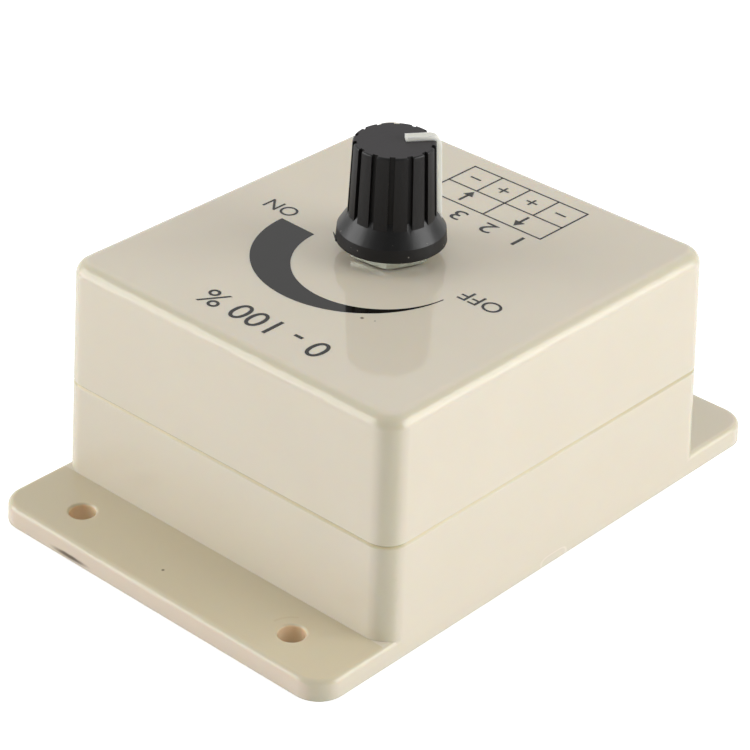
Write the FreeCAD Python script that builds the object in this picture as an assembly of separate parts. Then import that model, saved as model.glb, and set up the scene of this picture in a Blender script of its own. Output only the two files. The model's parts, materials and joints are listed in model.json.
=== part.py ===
import FreeCAD, Part
import math
import os

# Knob-operated dimmer for low-voltage light strips.
# Millimetres. X runs to the right along the printed legend, Y up the legend, Z up.
# The origin is the middle of the underside, so the case stands on Z = 0.

# Case outside: a two-part box whose walls lean in, with a fixing flange at each Y end
CASE_WIDTH = 60.0
CASE_LENGTH = 65.4
CASE_HEIGHT = 34.85
SPLIT_HEIGHT = 16.7
WALL_LEAN_DEG = 1.8
CORNER_RADIUS = 3.4
TOP_EDGE_RADIUS = 2.1
SEAM_BEVEL = 0.28
FLANGE_REACH = 11.8
FLANGE_THICKNESS = 3.0
FLANGE_CORNER_RADIUS = 4.0
FLANGE_EDGE_RADIUS = 0.9

# Fixing holes in the flanges
FIXING_SPACING_X = 38.7
FIXING_INSET = 6.1
FIXING_HOLE_RADIUS = 1.8
FIXING_HOLE_LIP = 0.4

# Case inside
WALL = 2.0
FLOOR = 2.2
CEILING = 2.2
TONGUE_THICKNESS = 0.9
TONGUE_DEPTH = 2.0
TONGUE_GAP = 0.1

# Four case screws, driven from below into columns under the cover
SCREW_POST_RADIUS = 3.6
SCREW_POST_INSET = 3.3
CASE_SCREW_RADIUS = 1.45
CASE_SCREW_LENGTH = 14.0
CASE_SCREW_HEAD_RADIUS = 2.7
CASE_SCREW_HEAD_HEIGHT = 2.0
CASE_SCREW_RECESS_DEPTH = 7.5
SCREW_HOLE_GAP = 0.2
SCREW_THREAD_GAP = 0.03
SCREW_TIP_GAP = 1.0

# Circuit board on four standoffs
BOARD_THICKNESS = 1.6
BOARD_EDGE_GAP = 1.0
BOARD_POST_GAP = 0.8
STANDOFF_SET_BACK_X = 5.25
STANDOFF_SET_BACK_Y = 11.95
STANDOFF_RADIUS = 2.6
BOARD_SCREW_RADIUS = 1.05
BOARD_SCREW_LENGTH = 5.0
BOARD_SCREW_HEAD_RADIUS = 2.1
BOARD_SCREW_HEAD_HEIGHT = 1.5
SLOT_WIDTH = 0.7
SLOT_DEPTH = 0.7

# Knob and its place on the cover
KNOB_X = 0.55
KNOB_Y = -0.45
KNOB_LIFT = 2.1
KNOB_HEIGHT = 14.15
KNOB_SKIRT_RADIUS = 7.4
KNOB_RIM_DRAFT = 0.15
KNOB_RIM_HEIGHT = 1.75
KNOB_FLARE_HEIGHT = 2.9
KNOB_FOOT_RADIUS = 6.0
KNOB_TOP_RADIUS = 5.45
KNOB_TOP_EDGE_RADIUS = 0.3
KNOB_RIBS = 14
KNOB_GROOVE_WIDTH = 0.75
KNOB_GROOVE_DEPTH = 0.5
POINTER_ANGLE_DEG = 232.0
POINTER_WIDTH = 1.15
POINTER_PROUD = 0.65
POINTER_INLAY = 0.3
POINTER_START_RADIUS = 1.4
POINTER_CORNER_RADIUS = 1.5
KNOB_TURN_DEG = 300.0
KNOB_NUT_SIDE_GAP = 0.5
KNOB_ROOM_GAP = 0.3

# Potentiometer: 16 mm carbon type with a threaded neck and a 6 mm knurled shaft
SHAFT_RADIUS = 3.0
SHAFT_RUNNING_GAP = 0.05
NECK_RADIUS = 3.5
NECK_LENGTH = 6.0
NECK_HOLE_GAP = 0.15
POT_RADIUS = 8.0
POT_PLATE_THICKNESS = 1.5
POT_CAN_WALL = 0.45
POT_CAN_DEPTH = 7.5
POT_LUG_RADIUS = 6.6
POT_LUG_WIDTH = 2.6
POT_LUG_THICKNESS = 1.0
POT_LUG_HEIGHT = 1.3
POT_LUG_GAP = 0.15
WAFER_THICKNESS = 1.2
WAFER_TAIL_LENGTH = 5.0
WAFER_TAIL_WIDTH = 13.6
WAFER_SHAFT_GAP = 0.4
TRACK_INNER_RADIUS = 4.7
TRACK_OUTER_RADIUS = 6.6
TRACK_THICKNESS = 0.15
TRACK_SWEEP_DEG = 310.0
ROTOR_RADIUS = 6.3
ROTOR_THICKNESS = 1.8
ROTOR_DROP = 1.6
ROTOR_STOP_REACH = 0.9
ROTOR_STOP_HALF_DEG = 9.0
STOP_CLEARANCE_DEG = 1.0
STOP_GAP = 0.15
WIPER_THICKNESS = 0.3
WIPER_WIDTH = 1.2
WIPER_TRACK_GAP = 0.12
CIRCLIP_THICKNESS = 0.6
CIRCLIP_OUTER_RADIUS = 3.9
CIRCLIP_GROOVE_DEPTH = 0.5
CIRCLIP_GAP = 0.1
CIRCLIP_MOUTH = 4.0
KNURL_COUNT = 18
KNURL_LENGTH = 7.0
KNURL_DEPTH = 0.2
SHAFT_SPLIT_WIDTH = 0.9
SHAFT_SPLIT_DEPTH = 5.5
KNOB_SOCKET_DEPTH = 11.0
KNOB_SOCKET_GAP = 0.02
SHAFT_TOP_GAP = 0.3
TERMINAL_PITCH = 5.0
TERMINAL_WIDTH = 1.6
TERMINAL_THICKNESS = 0.5
TERMINAL_DROP = 5.0

# Nut that clamps the potentiometer to the cover, with both ends of its corners bevelled
NUT_ACROSS_FLATS = 10.0
NUT_HEIGHT = 2.4
NUT_TURN_DEG = 6.6
NUT_THREAD_GAP = 0.03
NUT_BEVEL = 0.4

# Leads from the potentiometer to the board
LEAD_RADIUS = 0.6
LEAD_CORE_RADIUS = 0.3
LEAD_STEP_Y = 3.4
LEAD_TIP = 3.0
LEAD_HOLE_GAP = 0.15

# Pluggable terminal block, four ways
POLES = 4
POLE_PITCH = 5.08
HEADER_HEIGHT = 8.5
HEADER_TOP_GAP = 0.2
HEADER_DEPTH = 12.0
HEADER_SET_BACK = 0.8
HEADER_END_WALL = 1.2
HEADER_SKIN = 1.2
HEADER_WINDOW_GAP = 0.3
PIN_SIDE = 1.0
PIN_HEIGHT = 4.25
PIN_REACH = 7.0
PIN_TAIL_SET_BACK = 1.6
PIN_HOLE_GAP = 0.12
BOARD_TAIL = 1.6
PLUG_WALL_GAP = 0.2
PLUG_INSERT = 9.2
PLUG_INSERT_GAP = 0.2
PLUG_END_GAP = 0.3
PLUG_LENGTH = 10.6
PLUG_DROP = 5.1
PLUG_RISE = 6.3
PLUG_SIDE_WALL = 0.35
PLUG_EDGE_BEVEL = 0.5
PLUG_TRAVEL = 9.0

# Clamp, contact and screw inside each pole of the plug
BAR_THICKNESS = 0.6
BAR_WIDTH = 2.0
BAR_END_GAP = 0.6
SOCKET_WALL = 0.35
SOCKET_PIN_GAP = 0.1
SOCKET_LENGTH = 7.4
SOCKET_SEAT_GAP = 0.1
CLAMP_WIDTH = 3.6
CLAMP_LENGTH = 3.6
CLAMP_SKIN = 0.5
CLAMP_TOP_THICKNESS = 1.0
CLAMP_MOUTH = 2.6
CLAMP_BAR_GAP = 0.3
CLAMP_SIDE_GAP = 0.18
CLAMP_END_GAP = 0.3
CLAMP_INSET = 5.3
THREAD_PITCH = 0.5
CLAMP_TURNS = 3
TERMINAL_SCREW_RADIUS = 1.15
TERMINAL_SCREW_HEAD_RADIUS = 1.75
TERMINAL_SCREW_HEAD_HEIGHT = 1.4
TERMINAL_SCREW_GAP = 0.05
TERMINAL_SCREW_WELL_GAP = 0.3
SCREW_LEDGE = 0.5
WIRE_ENTRY_WIDTH = 3.0
WIRE_ENTRY_BEVEL = 0.45
WIRE_ENTRY_LIP = 0.3

# Power transistor and its heat sink
TRANSISTOR_Y = 2.0
TRANSISTOR_WIDTH = 10.2
TRANSISTOR_BODY_HEIGHT = 9.0
TRANSISTOR_THICKNESS = 4.5
TRANSISTOR_LIFT = 3.0
TAB_THICKNESS = 1.3
TAB_RISE = 6.4
TAB_HOLE_RADIUS = 1.8
TAB_HOLE_DROP = 2.8
SINK_SET_BACK = 9.75
SINK_BASE = 2.2
SINK_WIDTH = 20.0
SINK_HEIGHT = 19.0
SINK_FIN_REACH = 5.4
SINK_FINS = 6
SINK_FIN_THICKNESS = 1.1
SINK_SCREW_RADIUS = 1.5
SINK_SCREW_HEAD_RADIUS = 2.75
SINK_SCREW_HEAD_HEIGHT = 2.0
LEAD_PITCH = 2.54
FLAT_LEAD_WIDTH = 0.8
FLAT_LEAD_THICKNESS = 0.5

# Round parts on the board
MAIN_CAP_SET_BACK = 9.75
MAIN_CAP_Y = 4.0
MAIN_CAP_RADIUS = 5.0
MAIN_CAP_HEIGHT = 16.0
SMALL_CAP_SET_BACK = 9.75
SMALL_CAP_Y = -9.0
SMALL_CAP_RADIUS = 3.15
SMALL_CAP_HEIGHT = 11.0
CAP_SEAL_HEIGHT = 1.6
CAP_CAN_WALL = 0.4
CAP_GROOVE_DEPTH = 0.35
CAP_LEAD_RADIUS = 0.3
CAP_LEAD_SHARE = 0.5

# Timer chip
CHIP_X = -10.0
CHIP_Y = 20.0
CHIP_LENGTH = 9.4
CHIP_WIDTH = 6.4
CHIP_THICKNESS = 3.3
CHIP_LIFT = 0.6
CHIP_LEG_WIDTH = 0.5
CHIP_LEG_THICKNESS = 0.3
CHIP_LEG_SPREAD = 0.6
CHIP_NOTCH_RADIUS = 0.9

# Small regulator in a half-round case
REGULATOR_X = 9.5
REGULATOR_Y = 20.5
REGULATOR_RADIUS = 2.35
REGULATOR_FLAT = 1.3
REGULATOR_HEIGHT = 4.8
REGULATOR_LIFT = 2.0
REGULATOR_PITCH = 1.27
REGULATOR_LEAD = 0.45

# Lying resistors, the diode and the disc capacitors
AXIAL_LEAD_RADIUS = 0.3
RESISTOR_LENGTH = 6.3
RESISTOR_RADIUS = 1.15
RESISTOR_SPAN = 10.2
RESISTOR_ROW_X = -5.5
RESISTOR_ROW_Y = -13.2
RESISTOR_ROW_STEP = 3.2
RESISTORS = 4
DIODE_X = 10.0
DIODE_Y = -12.5
DIODE_LENGTH = 8.0
DIODE_RADIUS = 2.3
DIODE_SPAN = 14.0
BEND_RADIUS = 0.9
DISC_RADIUS = 2.6
DISC_THICKNESS = 2.2
DISC_LIFT = 1.2
DISC_PITCH = 3.0
DISC_X = 1.5
DISC_Y = 23.0
DISC_STEP = 4.4
DISCS = 2

# Worked-out heights and places
LEAN = math.tan(math.radians(WALL_LEAN_DEG))
CEILING_Z = CASE_HEIGHT - CEILING
BOARD_TOP = SPLIT_HEIGHT - HEADER_TOP_GAP - HEADER_HEIGHT
BOARD_BOTTOM = BOARD_TOP - BOARD_THICKNESS
BOARD_HALF_X = CASE_WIDTH / 2 - LEAN * BOARD_TOP - WALL - BOARD_EDGE_GAP
BOARD_HALF_Y = CASE_LENGTH / 2 - LEAN * BOARD_TOP - WALL - BOARD_EDGE_GAP
STANDOFF_X = BOARD_HALF_X - STANDOFF_SET_BACK_X
STANDOFF_Y = BOARD_HALF_Y - STANDOFF_SET_BACK_Y
SINK_FACE_X = BOARD_HALF_X - SINK_SET_BACK
MAIN_CAP_X = MAIN_CAP_SET_BACK - BOARD_HALF_X
SMALL_CAP_X = SMALL_CAP_SET_BACK - BOARD_HALF_X
POST_X = CASE_WIDTH / 2 - LEAN * SPLIT_HEIGHT - WALL - SCREW_POST_INSET
POST_Y = CASE_LENGTH / 2 - LEAN * SPLIT_HEIGHT - WALL - SCREW_POST_INSET
FIXING_Y = CASE_LENGTH / 2 + FLANGE_REACH - FIXING_INSET
KNOB_Z = CASE_HEIGHT + KNOB_LIFT
PLATE_BOTTOM = CEILING_Z - POT_PLATE_THICKNESS
WAFER_BOTTOM = PLATE_BOTTOM - WAFER_THICKNESS
TRACK_BOTTOM = WAFER_BOTTOM - TRACK_THICKNESS
ROTOR_TOP = TRACK_BOTTOM - ROTOR_DROP
ROTOR_BOTTOM = ROTOR_TOP - ROTOR_THICKNESS
CAN_BOTTOM = PLATE_BOTTOM - POT_CAN_DEPTH
NECK_TOP = CEILING_Z + NECK_LENGTH
SHAFT_TOP = KNOB_Z + KNOB_SOCKET_DEPTH - SHAFT_TOP_GAP
CIRCLIP_BOTTOM = NECK_TOP + CIRCLIP_GAP
STOP_HALF_DEG = (360.0 - KNOB_TURN_DEG) / 2 - ROTOR_STOP_HALF_DEG - STOP_CLEARANCE_DEG
PIN_Z = BOARD_TOP + PIN_HEIGHT
HEADER_FRONT = -CASE_LENGTH / 2 + HEADER_SET_BACK
HEADER_BACK = HEADER_FRONT + HEADER_DEPTH
PLUG_FACE = -CASE_LENGTH / 2 - PLUG_WALL_GAP
PLUG_REAR = PLUG_FACE - PLUG_LENGTH
PLUG_TIP = PLUG_FACE + PLUG_INSERT
PLUG_BOTTOM = PIN_Z - PLUG_DROP
PLUG_TOP = PIN_Z + PLUG_RISE
PLUG_HALF = POLES * POLE_PITCH / 2 + PLUG_SIDE_WALL
HEADER_HALF = PLUG_HALF + PLUG_INSERT_GAP + HEADER_END_WALL
CLAMP_Y = PLUG_FACE - CLAMP_INSET
CLAMP_TRAVEL = CLAMP_TURNS * THREAD_PITCH
BAR_BOTTOM = PIN_Z - BAR_THICKNESS / 2
BAR_TOP = PIN_Z + BAR_THICKNESS / 2
CLAMP_TOP_UNDER = BAR_TOP + CLAMP_BAR_GAP
CHAMBER_BOTTOM = BAR_BOTTOM - CLAMP_MOUTH - CLAMP_SKIN - CLAMP_END_GAP
CHAMBER_TOP = CLAMP_TOP_UNDER + CLAMP_TOP_THICKNESS + CLAMP_TRAVEL + CLAMP_END_GAP
WELL_FLOOR = CHAMBER_TOP + SCREW_LEDGE
SCREW_HEAD_BOTTOM = WELL_FLOOR + TERMINAL_SCREW_GAP
POLE_XS = [(pole - (POLES - 1) / 2) * POLE_PITCH for pole in range(POLES)]
CUT_MARGIN = 1.0

V = FreeCAD.Vector
UP = V(0, 0, 1)
parts = {}


# Basic solids
def block(x0, x1, y0, y1, z0, z1):
    return Part.makeBox(x1 - x0, y1 - y0, z1 - z0, V(x0, y0, z0))


def post(x, y, z0, z1, radius):
    return Part.makeCylinder(radius, z1 - z0, V(x, y, z0), UP)


def ring(x, y, z0, z1, outer, inner):
    hole = post(x, y, z0 - CUT_MARGIN, z1 + CUT_MARGIN, inner)
    return post(x, y, z0, z1, outer).cut(hole)


def turned(points, x, y, z):
    """A solid of revolution about a vertical axis, from (radius, height) points."""
    corners = [V(radius, 0, height) for radius, height in points]
    face = Part.Face(Part.makePolygon(corners + corners[:1]))
    solid = face.revolve(V(0, 0, 0), UP, 360)
    solid.translate(V(x, y, z))
    return solid


def slotted_head(x, y, z0, height, radius, slot_turn=0.0):
    """A round screw head with its driver slot in the top."""
    head = post(x, y, z0, z0 + height, radius)
    slot = block(-radius, radius, -SLOT_WIDTH / 2, SLOT_WIDTH / 2, z0 + height - SLOT_DEPTH,
                 z0 + height + CUT_MARGIN)
    slot.rotate(V(0, 0, 0), UP, slot_turn)
    slot.translate(V(x, y, 0))
    return head.cut(slot)


def round_path(points, bend):
    """Straight runs joined by tangent arcs of one radius."""
    edges = []
    start = points[0]
    for before, corner, after in zip(points, points[1:], points[2:]):
        run_in = (corner - before).normalize()
        run_out = (after - corner).normalize()
        turn = run_in.getAngle(run_out)
        reach = bend * math.tan(turn / 2)
        arc_start = corner - run_in * reach
        arc_end = corner + run_out * reach
        bisector = (run_out - run_in).normalize()
        centre = corner + bisector * (bend / math.cos(turn / 2))
        middle = centre + (corner - centre).normalize() * bend
        edges.append(Part.LineSegment(start, arc_start).toShape())
        edges.append(Part.Arc(arc_start, middle, arc_end).toShape())
        start = arc_end
    edges.append(Part.LineSegment(start, points[-1]).toShape())
    return Part.Wire(edges)


def tube(points, radius, bend):
    """A round wire or lead along a path of runs and arcs."""
    path = round_path(points, bend)
    first_run = points[1] - points[0]
    section = Part.Wire(Part.makeCircle(radius, points[0], first_run))
    return path.makePipeShell([section], True, False)


def together(solids):
    """Separate solids of one node."""
    return Part.makeCompound(solids)


# The box outline, which leans in with height
def case_outline(z, inset, half_length, corner):
    half_x = CASE_WIDTH / 2 - LEAN * z - inset
    half_y = half_length - LEAN * z - inset
    radius = max(corner - inset, CORNER_RADIUS / 4)
    edges = []
    corners = [(half_x, half_y, 0), (-half_x, half_y, 90), (-half_x, -half_y, 180), (half_x, -half_y, 270)]
    starts = []
    for corner_x, corner_y, turn in corners:
        centre = V(corner_x - math.copysign(radius, corner_x), corner_y - math.copysign(radius, corner_y), z)
        circle = Part.Circle(centre, UP, radius)
        arc = Part.Arc(circle, math.radians(turn), math.radians(turn + 90))
        edges.append(arc.toShape())
        starts.append((arc.StartPoint, arc.EndPoint))
    joined = []
    for index, arc in enumerate(edges):
        following = starts[(index + 1) % len(starts)][0]
        joined.append(arc)
        joined.append(Part.LineSegment(starts[index][1], following).toShape())
    return Part.Wire(joined)


def leaning_block(z0, z1, inset=0.0, half_length=CASE_LENGTH / 2, corner=CORNER_RADIUS):
    low = case_outline(z0, inset, half_length, corner)
    high = case_outline(z1, inset, half_length, corner)
    return Part.makeLoft([low, high], True, True)


def seam_bevel(z_wide, z_seam):
    """The thin slanting band next to the seam between the two halves."""
    wide = case_outline(z_wide, 0.0, CASE_LENGTH / 2, CORNER_RADIUS)
    seam = case_outline(z_seam, SEAM_BEVEL, CASE_LENGTH / 2, CORNER_RADIUS)
    return Part.makeLoft([wide, seam], True, True)


def edges_at(shape, z):
    """The edges that lie wholly in the level plane at height z."""
    found = []
    for edge in shape.Edges:
        box = edge.BoundBox
        if abs(box.ZMin - z) < 1e-4 and abs(box.ZMax - z) < 1e-4:
            found.append(edge)
    return found


def corner_places(x, y):
    return [(sx * x, sy * y) for sx in (-1, 1) for sy in (-1, 1)]


# Base shell with flanges, screw posts, standoffs and the terminal window
def make_base_shell():
    half_overall = CASE_LENGTH / 2 + FLANGE_REACH
    flange = leaning_block(0, FLANGE_THICKNESS, 0.0, half_overall, FLANGE_CORNER_RADIUS)
    flange = flange.makeFillet(FLANGE_EDGE_RADIUS, edges_at(flange, FLANGE_THICKNESS))
    holes = []
    for x, y in corner_places(FIXING_SPACING_X / 2, FIXING_Y):
        holes.append(post(x, y, -CUT_MARGIN, FLANGE_THICKNESS + CUT_MARGIN, FIXING_HOLE_RADIUS))
    flange = flange.cut(holes)
    lips = [edge for edge in edges_at(flange, FLANGE_THICKNESS) if edge.isClosed()]
    flange = flange.makeFillet(FIXING_HOLE_LIP, lips)
    body = leaning_block(0, SPLIT_HEIGHT - SEAM_BEVEL)
    bevel = seam_bevel(SPLIT_HEIGHT - SEAM_BEVEL, SPLIT_HEIGHT)
    cavity = leaning_block(FLOOR, SPLIT_HEIGHT + CUT_MARGIN, WALL)
    shell = flange.fuse([body, bevel]).cut(cavity)
    posts = []
    for x, y in corner_places(POST_X, POST_Y):
        posts.append(post(x, y, FLOOR / 2, SPLIT_HEIGHT, SCREW_POST_RADIUS))
    for x, y in corner_places(STANDOFF_X, STANDOFF_Y):
        posts.append(post(x, y, FLOOR / 2, BOARD_BOTTOM, STANDOFF_RADIUS))
    within = leaning_block(0, SPLIT_HEIGHT, WALL / 2)
    shell = shell.fuse([solid.common(within) for solid in posts])
    cuts = []
    rebate_low = SPLIT_HEIGHT - TONGUE_DEPTH - TONGUE_GAP
    rebate_outer = leaning_block(rebate_low, SPLIT_HEIGHT + CUT_MARGIN, WALL - TONGUE_THICKNESS - TONGUE_GAP)
    rebate_inner = leaning_block(rebate_low - CUT_MARGIN, SPLIT_HEIGHT + 2 * CUT_MARGIN, WALL + TONGUE_GAP)
    cuts.append(rebate_outer.cut(rebate_inner))
    for x, y in corner_places(POST_X, POST_Y):
        cuts.append(post(x, y, -CUT_MARGIN, CASE_SCREW_RECESS_DEPTH, CASE_SCREW_HEAD_RADIUS + SCREW_HOLE_GAP))
        cuts.append(post(x, y, 0, SPLIT_HEIGHT + CUT_MARGIN, CASE_SCREW_RADIUS + SCREW_HOLE_GAP))
    for x, y in corner_places(STANDOFF_X, STANDOFF_Y):
        pilot_bottom = BOARD_TOP - BOARD_SCREW_LENGTH - SCREW_HOLE_GAP
        cuts.append(post(x, y, pilot_bottom, BOARD_TOP, BOARD_SCREW_RADIUS + SCREW_THREAD_GAP))
    cuts.append(terminal_window(SPLIT_HEIGHT + CUT_MARGIN))
    parts["base_shell"] = shell.cut(cuts).removeSplitter()


def terminal_window(top):
    half = HEADER_HALF + HEADER_WINDOW_GAP
    outside = -CASE_LENGTH / 2 - CUT_MARGIN
    inside = -CASE_LENGTH / 2 + LEAN * SPLIT_HEIGHT + WALL + CUT_MARGIN
    return block(-half, half, outside, inside, BOARD_TOP - HEADER_WINDOW_GAP, top)


# Cover with the columns that take the case screws and a tongue that locates it in the base
def make_top_cover():
    cover = leaning_block(SPLIT_HEIGHT + SEAM_BEVEL, CASE_HEIGHT)
    cover = cover.makeFillet(TOP_EDGE_RADIUS, edges_at(cover, CASE_HEIGHT))
    cavity = leaning_block(SPLIT_HEIGHT - CUT_MARGIN, CEILING_Z, WALL)
    cover = cover.fuse(seam_bevel(SPLIT_HEIGHT + SEAM_BEVEL, SPLIT_HEIGHT)).cut(cavity)
    tongue_low = SPLIT_HEIGHT - TONGUE_DEPTH
    tongue_top = SPLIT_HEIGHT + WALL
    tongue = leaning_block(tongue_low, tongue_top, WALL - TONGUE_THICKNESS)
    tongue = tongue.cut(leaning_block(tongue_low - CUT_MARGIN, tongue_top + CUT_MARGIN, WALL))
    tongue = tongue.cut(terminal_window(SPLIT_HEIGHT))
    within = leaning_block(SPLIT_HEIGHT, CASE_HEIGHT - CEILING / 2, WALL / 2)
    columns = []
    for x, y in corner_places(POST_X, POST_Y):
        column = post(x, y, SPLIT_HEIGHT, CASE_HEIGHT - CEILING / 2, SCREW_POST_RADIUS)
        columns.append(column.common(within))
    cover = cover.fuse([tongue] + columns)
    cuts = []
    screw_top = CASE_SCREW_RECESS_DEPTH + CASE_SCREW_LENGTH
    for x, y in corner_places(POST_X, POST_Y):
        cuts.append(post(x, y, SPLIT_HEIGHT - CUT_MARGIN, screw_top + SCREW_TIP_GAP,
                         CASE_SCREW_RADIUS + SCREW_THREAD_GAP))
    cuts.append(post(KNOB_X, KNOB_Y, CEILING_Z - CUT_MARGIN, CASE_HEIGHT + CUT_MARGIN, NECK_RADIUS + NECK_HOLE_GAP))
    cuts.append(pot_lug(POT_LUG_GAP))
    parts["top_cover"] = cover.cut(cuts).removeSplitter()


def pot_lug(gap):
    """The anti-turn lug beside the neck, or with a gap the pocket that it sits in."""
    x = KNOB_X - POT_LUG_RADIUS
    return block(x - POT_LUG_THICKNESS / 2 - gap, x + POT_LUG_THICKNESS / 2 + gap,
                 KNOB_Y - POT_LUG_WIDTH / 2 - gap, KNOB_Y + POT_LUG_WIDTH / 2 + gap,
                 CEILING_Z - POT_PLATE_THICKNESS / 2, CEILING_Z + POT_LUG_HEIGHT + gap)


# Screws of the case and of the board
def make_screws():
    case_screws = []
    for x, y in corner_places(POST_X, POST_Y):
        seat = CASE_SCREW_RECESS_DEPTH
        head = slotted_head(0, 0, 0, CASE_SCREW_HEAD_HEIGHT, CASE_SCREW_HEAD_RADIUS)
        head.rotate(V(0, 0, 0), V(1, 0, 0), 180)
        head.translate(V(x, y, seat))
        case_screws.append(head.fuse(post(x, y, seat, seat + CASE_SCREW_LENGTH, CASE_SCREW_RADIUS)))
    parts["case_screws"] = together(case_screws)
    board_screws = []
    for x, y in corner_places(STANDOFF_X, STANDOFF_Y):
        head = slotted_head(x, y, BOARD_TOP, BOARD_SCREW_HEAD_HEIGHT, BOARD_SCREW_HEAD_RADIUS, x + y)
        shank = post(x, y, BOARD_TOP - BOARD_SCREW_LENGTH, BOARD_TOP, BOARD_SCREW_RADIUS)
        board_screws.append(head.fuse(shank))
    parts["board_screws"] = together(board_screws)


# Knob: skirt with a low rim and a conical flare, fluted grip, and an inlaid pointer
def knob_radius_at(height, groove=0.0):
    grip_foot = KNOB_RIM_HEIGHT
    share = (height - grip_foot) / (KNOB_HEIGHT - grip_foot)
    return KNOB_FOOT_RADIUS + (KNOB_TOP_RADIUS - KNOB_FOOT_RADIUS) * share - groove


def make_knob():
    flare_top = KNOB_RIM_HEIGHT + KNOB_FLARE_HEIGHT
    core_foot = knob_radius_at(flare_top, KNOB_GROOVE_DEPTH)
    core_top = knob_radius_at(KNOB_HEIGHT, KNOB_GROOVE_DEPTH)
    core = turned([(0, 0), (KNOB_SKIRT_RADIUS, 0), (KNOB_SKIRT_RADIUS - KNOB_RIM_DRAFT, KNOB_RIM_HEIGHT),
                   (core_foot, flare_top), (core_top, KNOB_HEIGHT), (0, KNOB_HEIGHT)], 0, 0, 0)
    grip = Part.makeCone(KNOB_FOOT_RADIUS, KNOB_TOP_RADIUS, KNOB_HEIGHT - KNOB_RIM_HEIGHT,
                         V(0, 0, KNOB_RIM_HEIGHT), UP)
    grip = grip.makeFillet(KNOB_TOP_EDGE_RADIUS, edges_at(grip, KNOB_HEIGHT))
    pointer = knob_pointer().cut(core)
    pointer = max(pointer.Solids, key=lambda solid: solid.Volume)
    grooves = []
    for rib in range(1, KNOB_RIBS):
        cutter = knob_groove(KNOB_GROOVE_WIDTH)
        cutter.rotate(V(0, 0, 0), UP, rib * 360.0 / KNOB_RIBS)
        grooves.append(cutter)
    knob = core.fuse(grip.cut(grooves)).cut(pointer)
    hollow = [
        post(0, 0, -CUT_MARGIN, knob_nut_room(), NUT_ACROSS_FLATS / math.sqrt(3) + KNOB_NUT_SIDE_GAP),
        post(0, 0, -CUT_MARGIN, knob_neck_room(), CIRCLIP_OUTER_RADIUS + KNOB_ROOM_GAP),
        post(0, 0, -CUT_MARGIN, KNOB_SOCKET_DEPTH, SHAFT_RADIUS + KNOB_SOCKET_GAP),
    ]
    knob = knob.cut(hollow)
    for name, solid in (("knob_body", knob), ("knob_pointer", pointer)):
        solid.rotate(V(0, 0, 0), UP, POINTER_ANGLE_DEG)
        solid.translate(V(KNOB_X, KNOB_Y, KNOB_Z))
        parts[name] = solid


def knob_nut_room():
    return NUT_HEIGHT - KNOB_LIFT + KNOB_ROOM_GAP


def knob_neck_room():
    return CIRCLIP_BOTTOM + CIRCLIP_THICKNESS + KNOB_ROOM_GAP - KNOB_Z


def knob_groove(width):
    """A cutter for one flute, whose floor follows the taper of the grip."""
    low = knob_radius_at(0, KNOB_GROOVE_DEPTH)
    high = knob_radius_at(KNOB_HEIGHT + CUT_MARGIN, KNOB_GROOVE_DEPTH)
    outer = KNOB_SKIRT_RADIUS + CUT_MARGIN
    corners = [V(low, 0, 0), V(outer, 0, 0), V(outer, 0, KNOB_HEIGHT + CUT_MARGIN),
               V(high, 0, KNOB_HEIGHT + CUT_MARGIN)]
    face = Part.Face(Part.makePolygon(corners + corners[:1]))
    face.translate(V(0, -width / 2, 0))
    return face.extrude(V(0, width, 0))


def knob_pointer():
    """The white strip: down the side in its own flute and in across the top."""
    foot = KNOB_RIM_HEIGHT
    low_floor = knob_radius_at(foot, KNOB_GROOVE_DEPTH)
    high_floor = knob_radius_at(KNOB_HEIGHT, KNOB_GROOVE_DEPTH)
    low_face = knob_radius_at(foot) + POINTER_PROUD
    high_face = knob_radius_at(KNOB_HEIGHT) + POINTER_PROUD
    top = KNOB_HEIGHT + POINTER_PROUD
    seat = KNOB_HEIGHT - POINTER_INLAY
    corners = [V(low_floor, 0, foot), V(low_face, 0, foot), V(high_face, 0, top),
               V(POINTER_START_RADIUS, 0, top), V(POINTER_START_RADIUS, 0, seat), V(high_floor, 0, seat)]
    face = Part.Face(Part.makePolygon(corners + corners[:1]))
    face.translate(V(0, -POINTER_WIDTH / 2, 0))
    strip = face.extrude(V(0, POINTER_WIDTH, 0))
    outer_edge = [edge for edge in edges_at(strip, top) if edge.BoundBox.XMin > high_face - POINTER_PROUD]
    return strip.makeFillet(POINTER_CORNER_RADIUS, outer_edge)


# Nut on the threaded neck
def make_nut():
    flat_radius = NUT_ACROSS_FLATS / 2
    corner_radius = NUT_ACROSS_FLATS / math.sqrt(3)
    corners = []
    for side in range(6):
        angle = math.radians(NUT_TURN_DEG + side * 60)
        corners.append(V(corner_radius * math.cos(angle), corner_radius * math.sin(angle), 0))
    hexagon = Part.Face(Part.makePolygon(corners + corners[:1])).extrude(V(0, 0, NUT_HEIGHT))
    rounding = turned([(0, 0), (flat_radius, 0), (corner_radius, NUT_BEVEL), (corner_radius, NUT_HEIGHT - NUT_BEVEL),
                       (flat_radius, NUT_HEIGHT), (0, NUT_HEIGHT)], 0, 0, 0)
    nut = hexagon.common(rounding).cut(post(0, 0, -CUT_MARGIN, NUT_HEIGHT + CUT_MARGIN, NECK_RADIUS + NUT_THREAD_GAP))
    nut.translate(V(KNOB_X, KNOB_Y, CASE_HEIGHT))
    parts["hex_nut"] = nut


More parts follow.
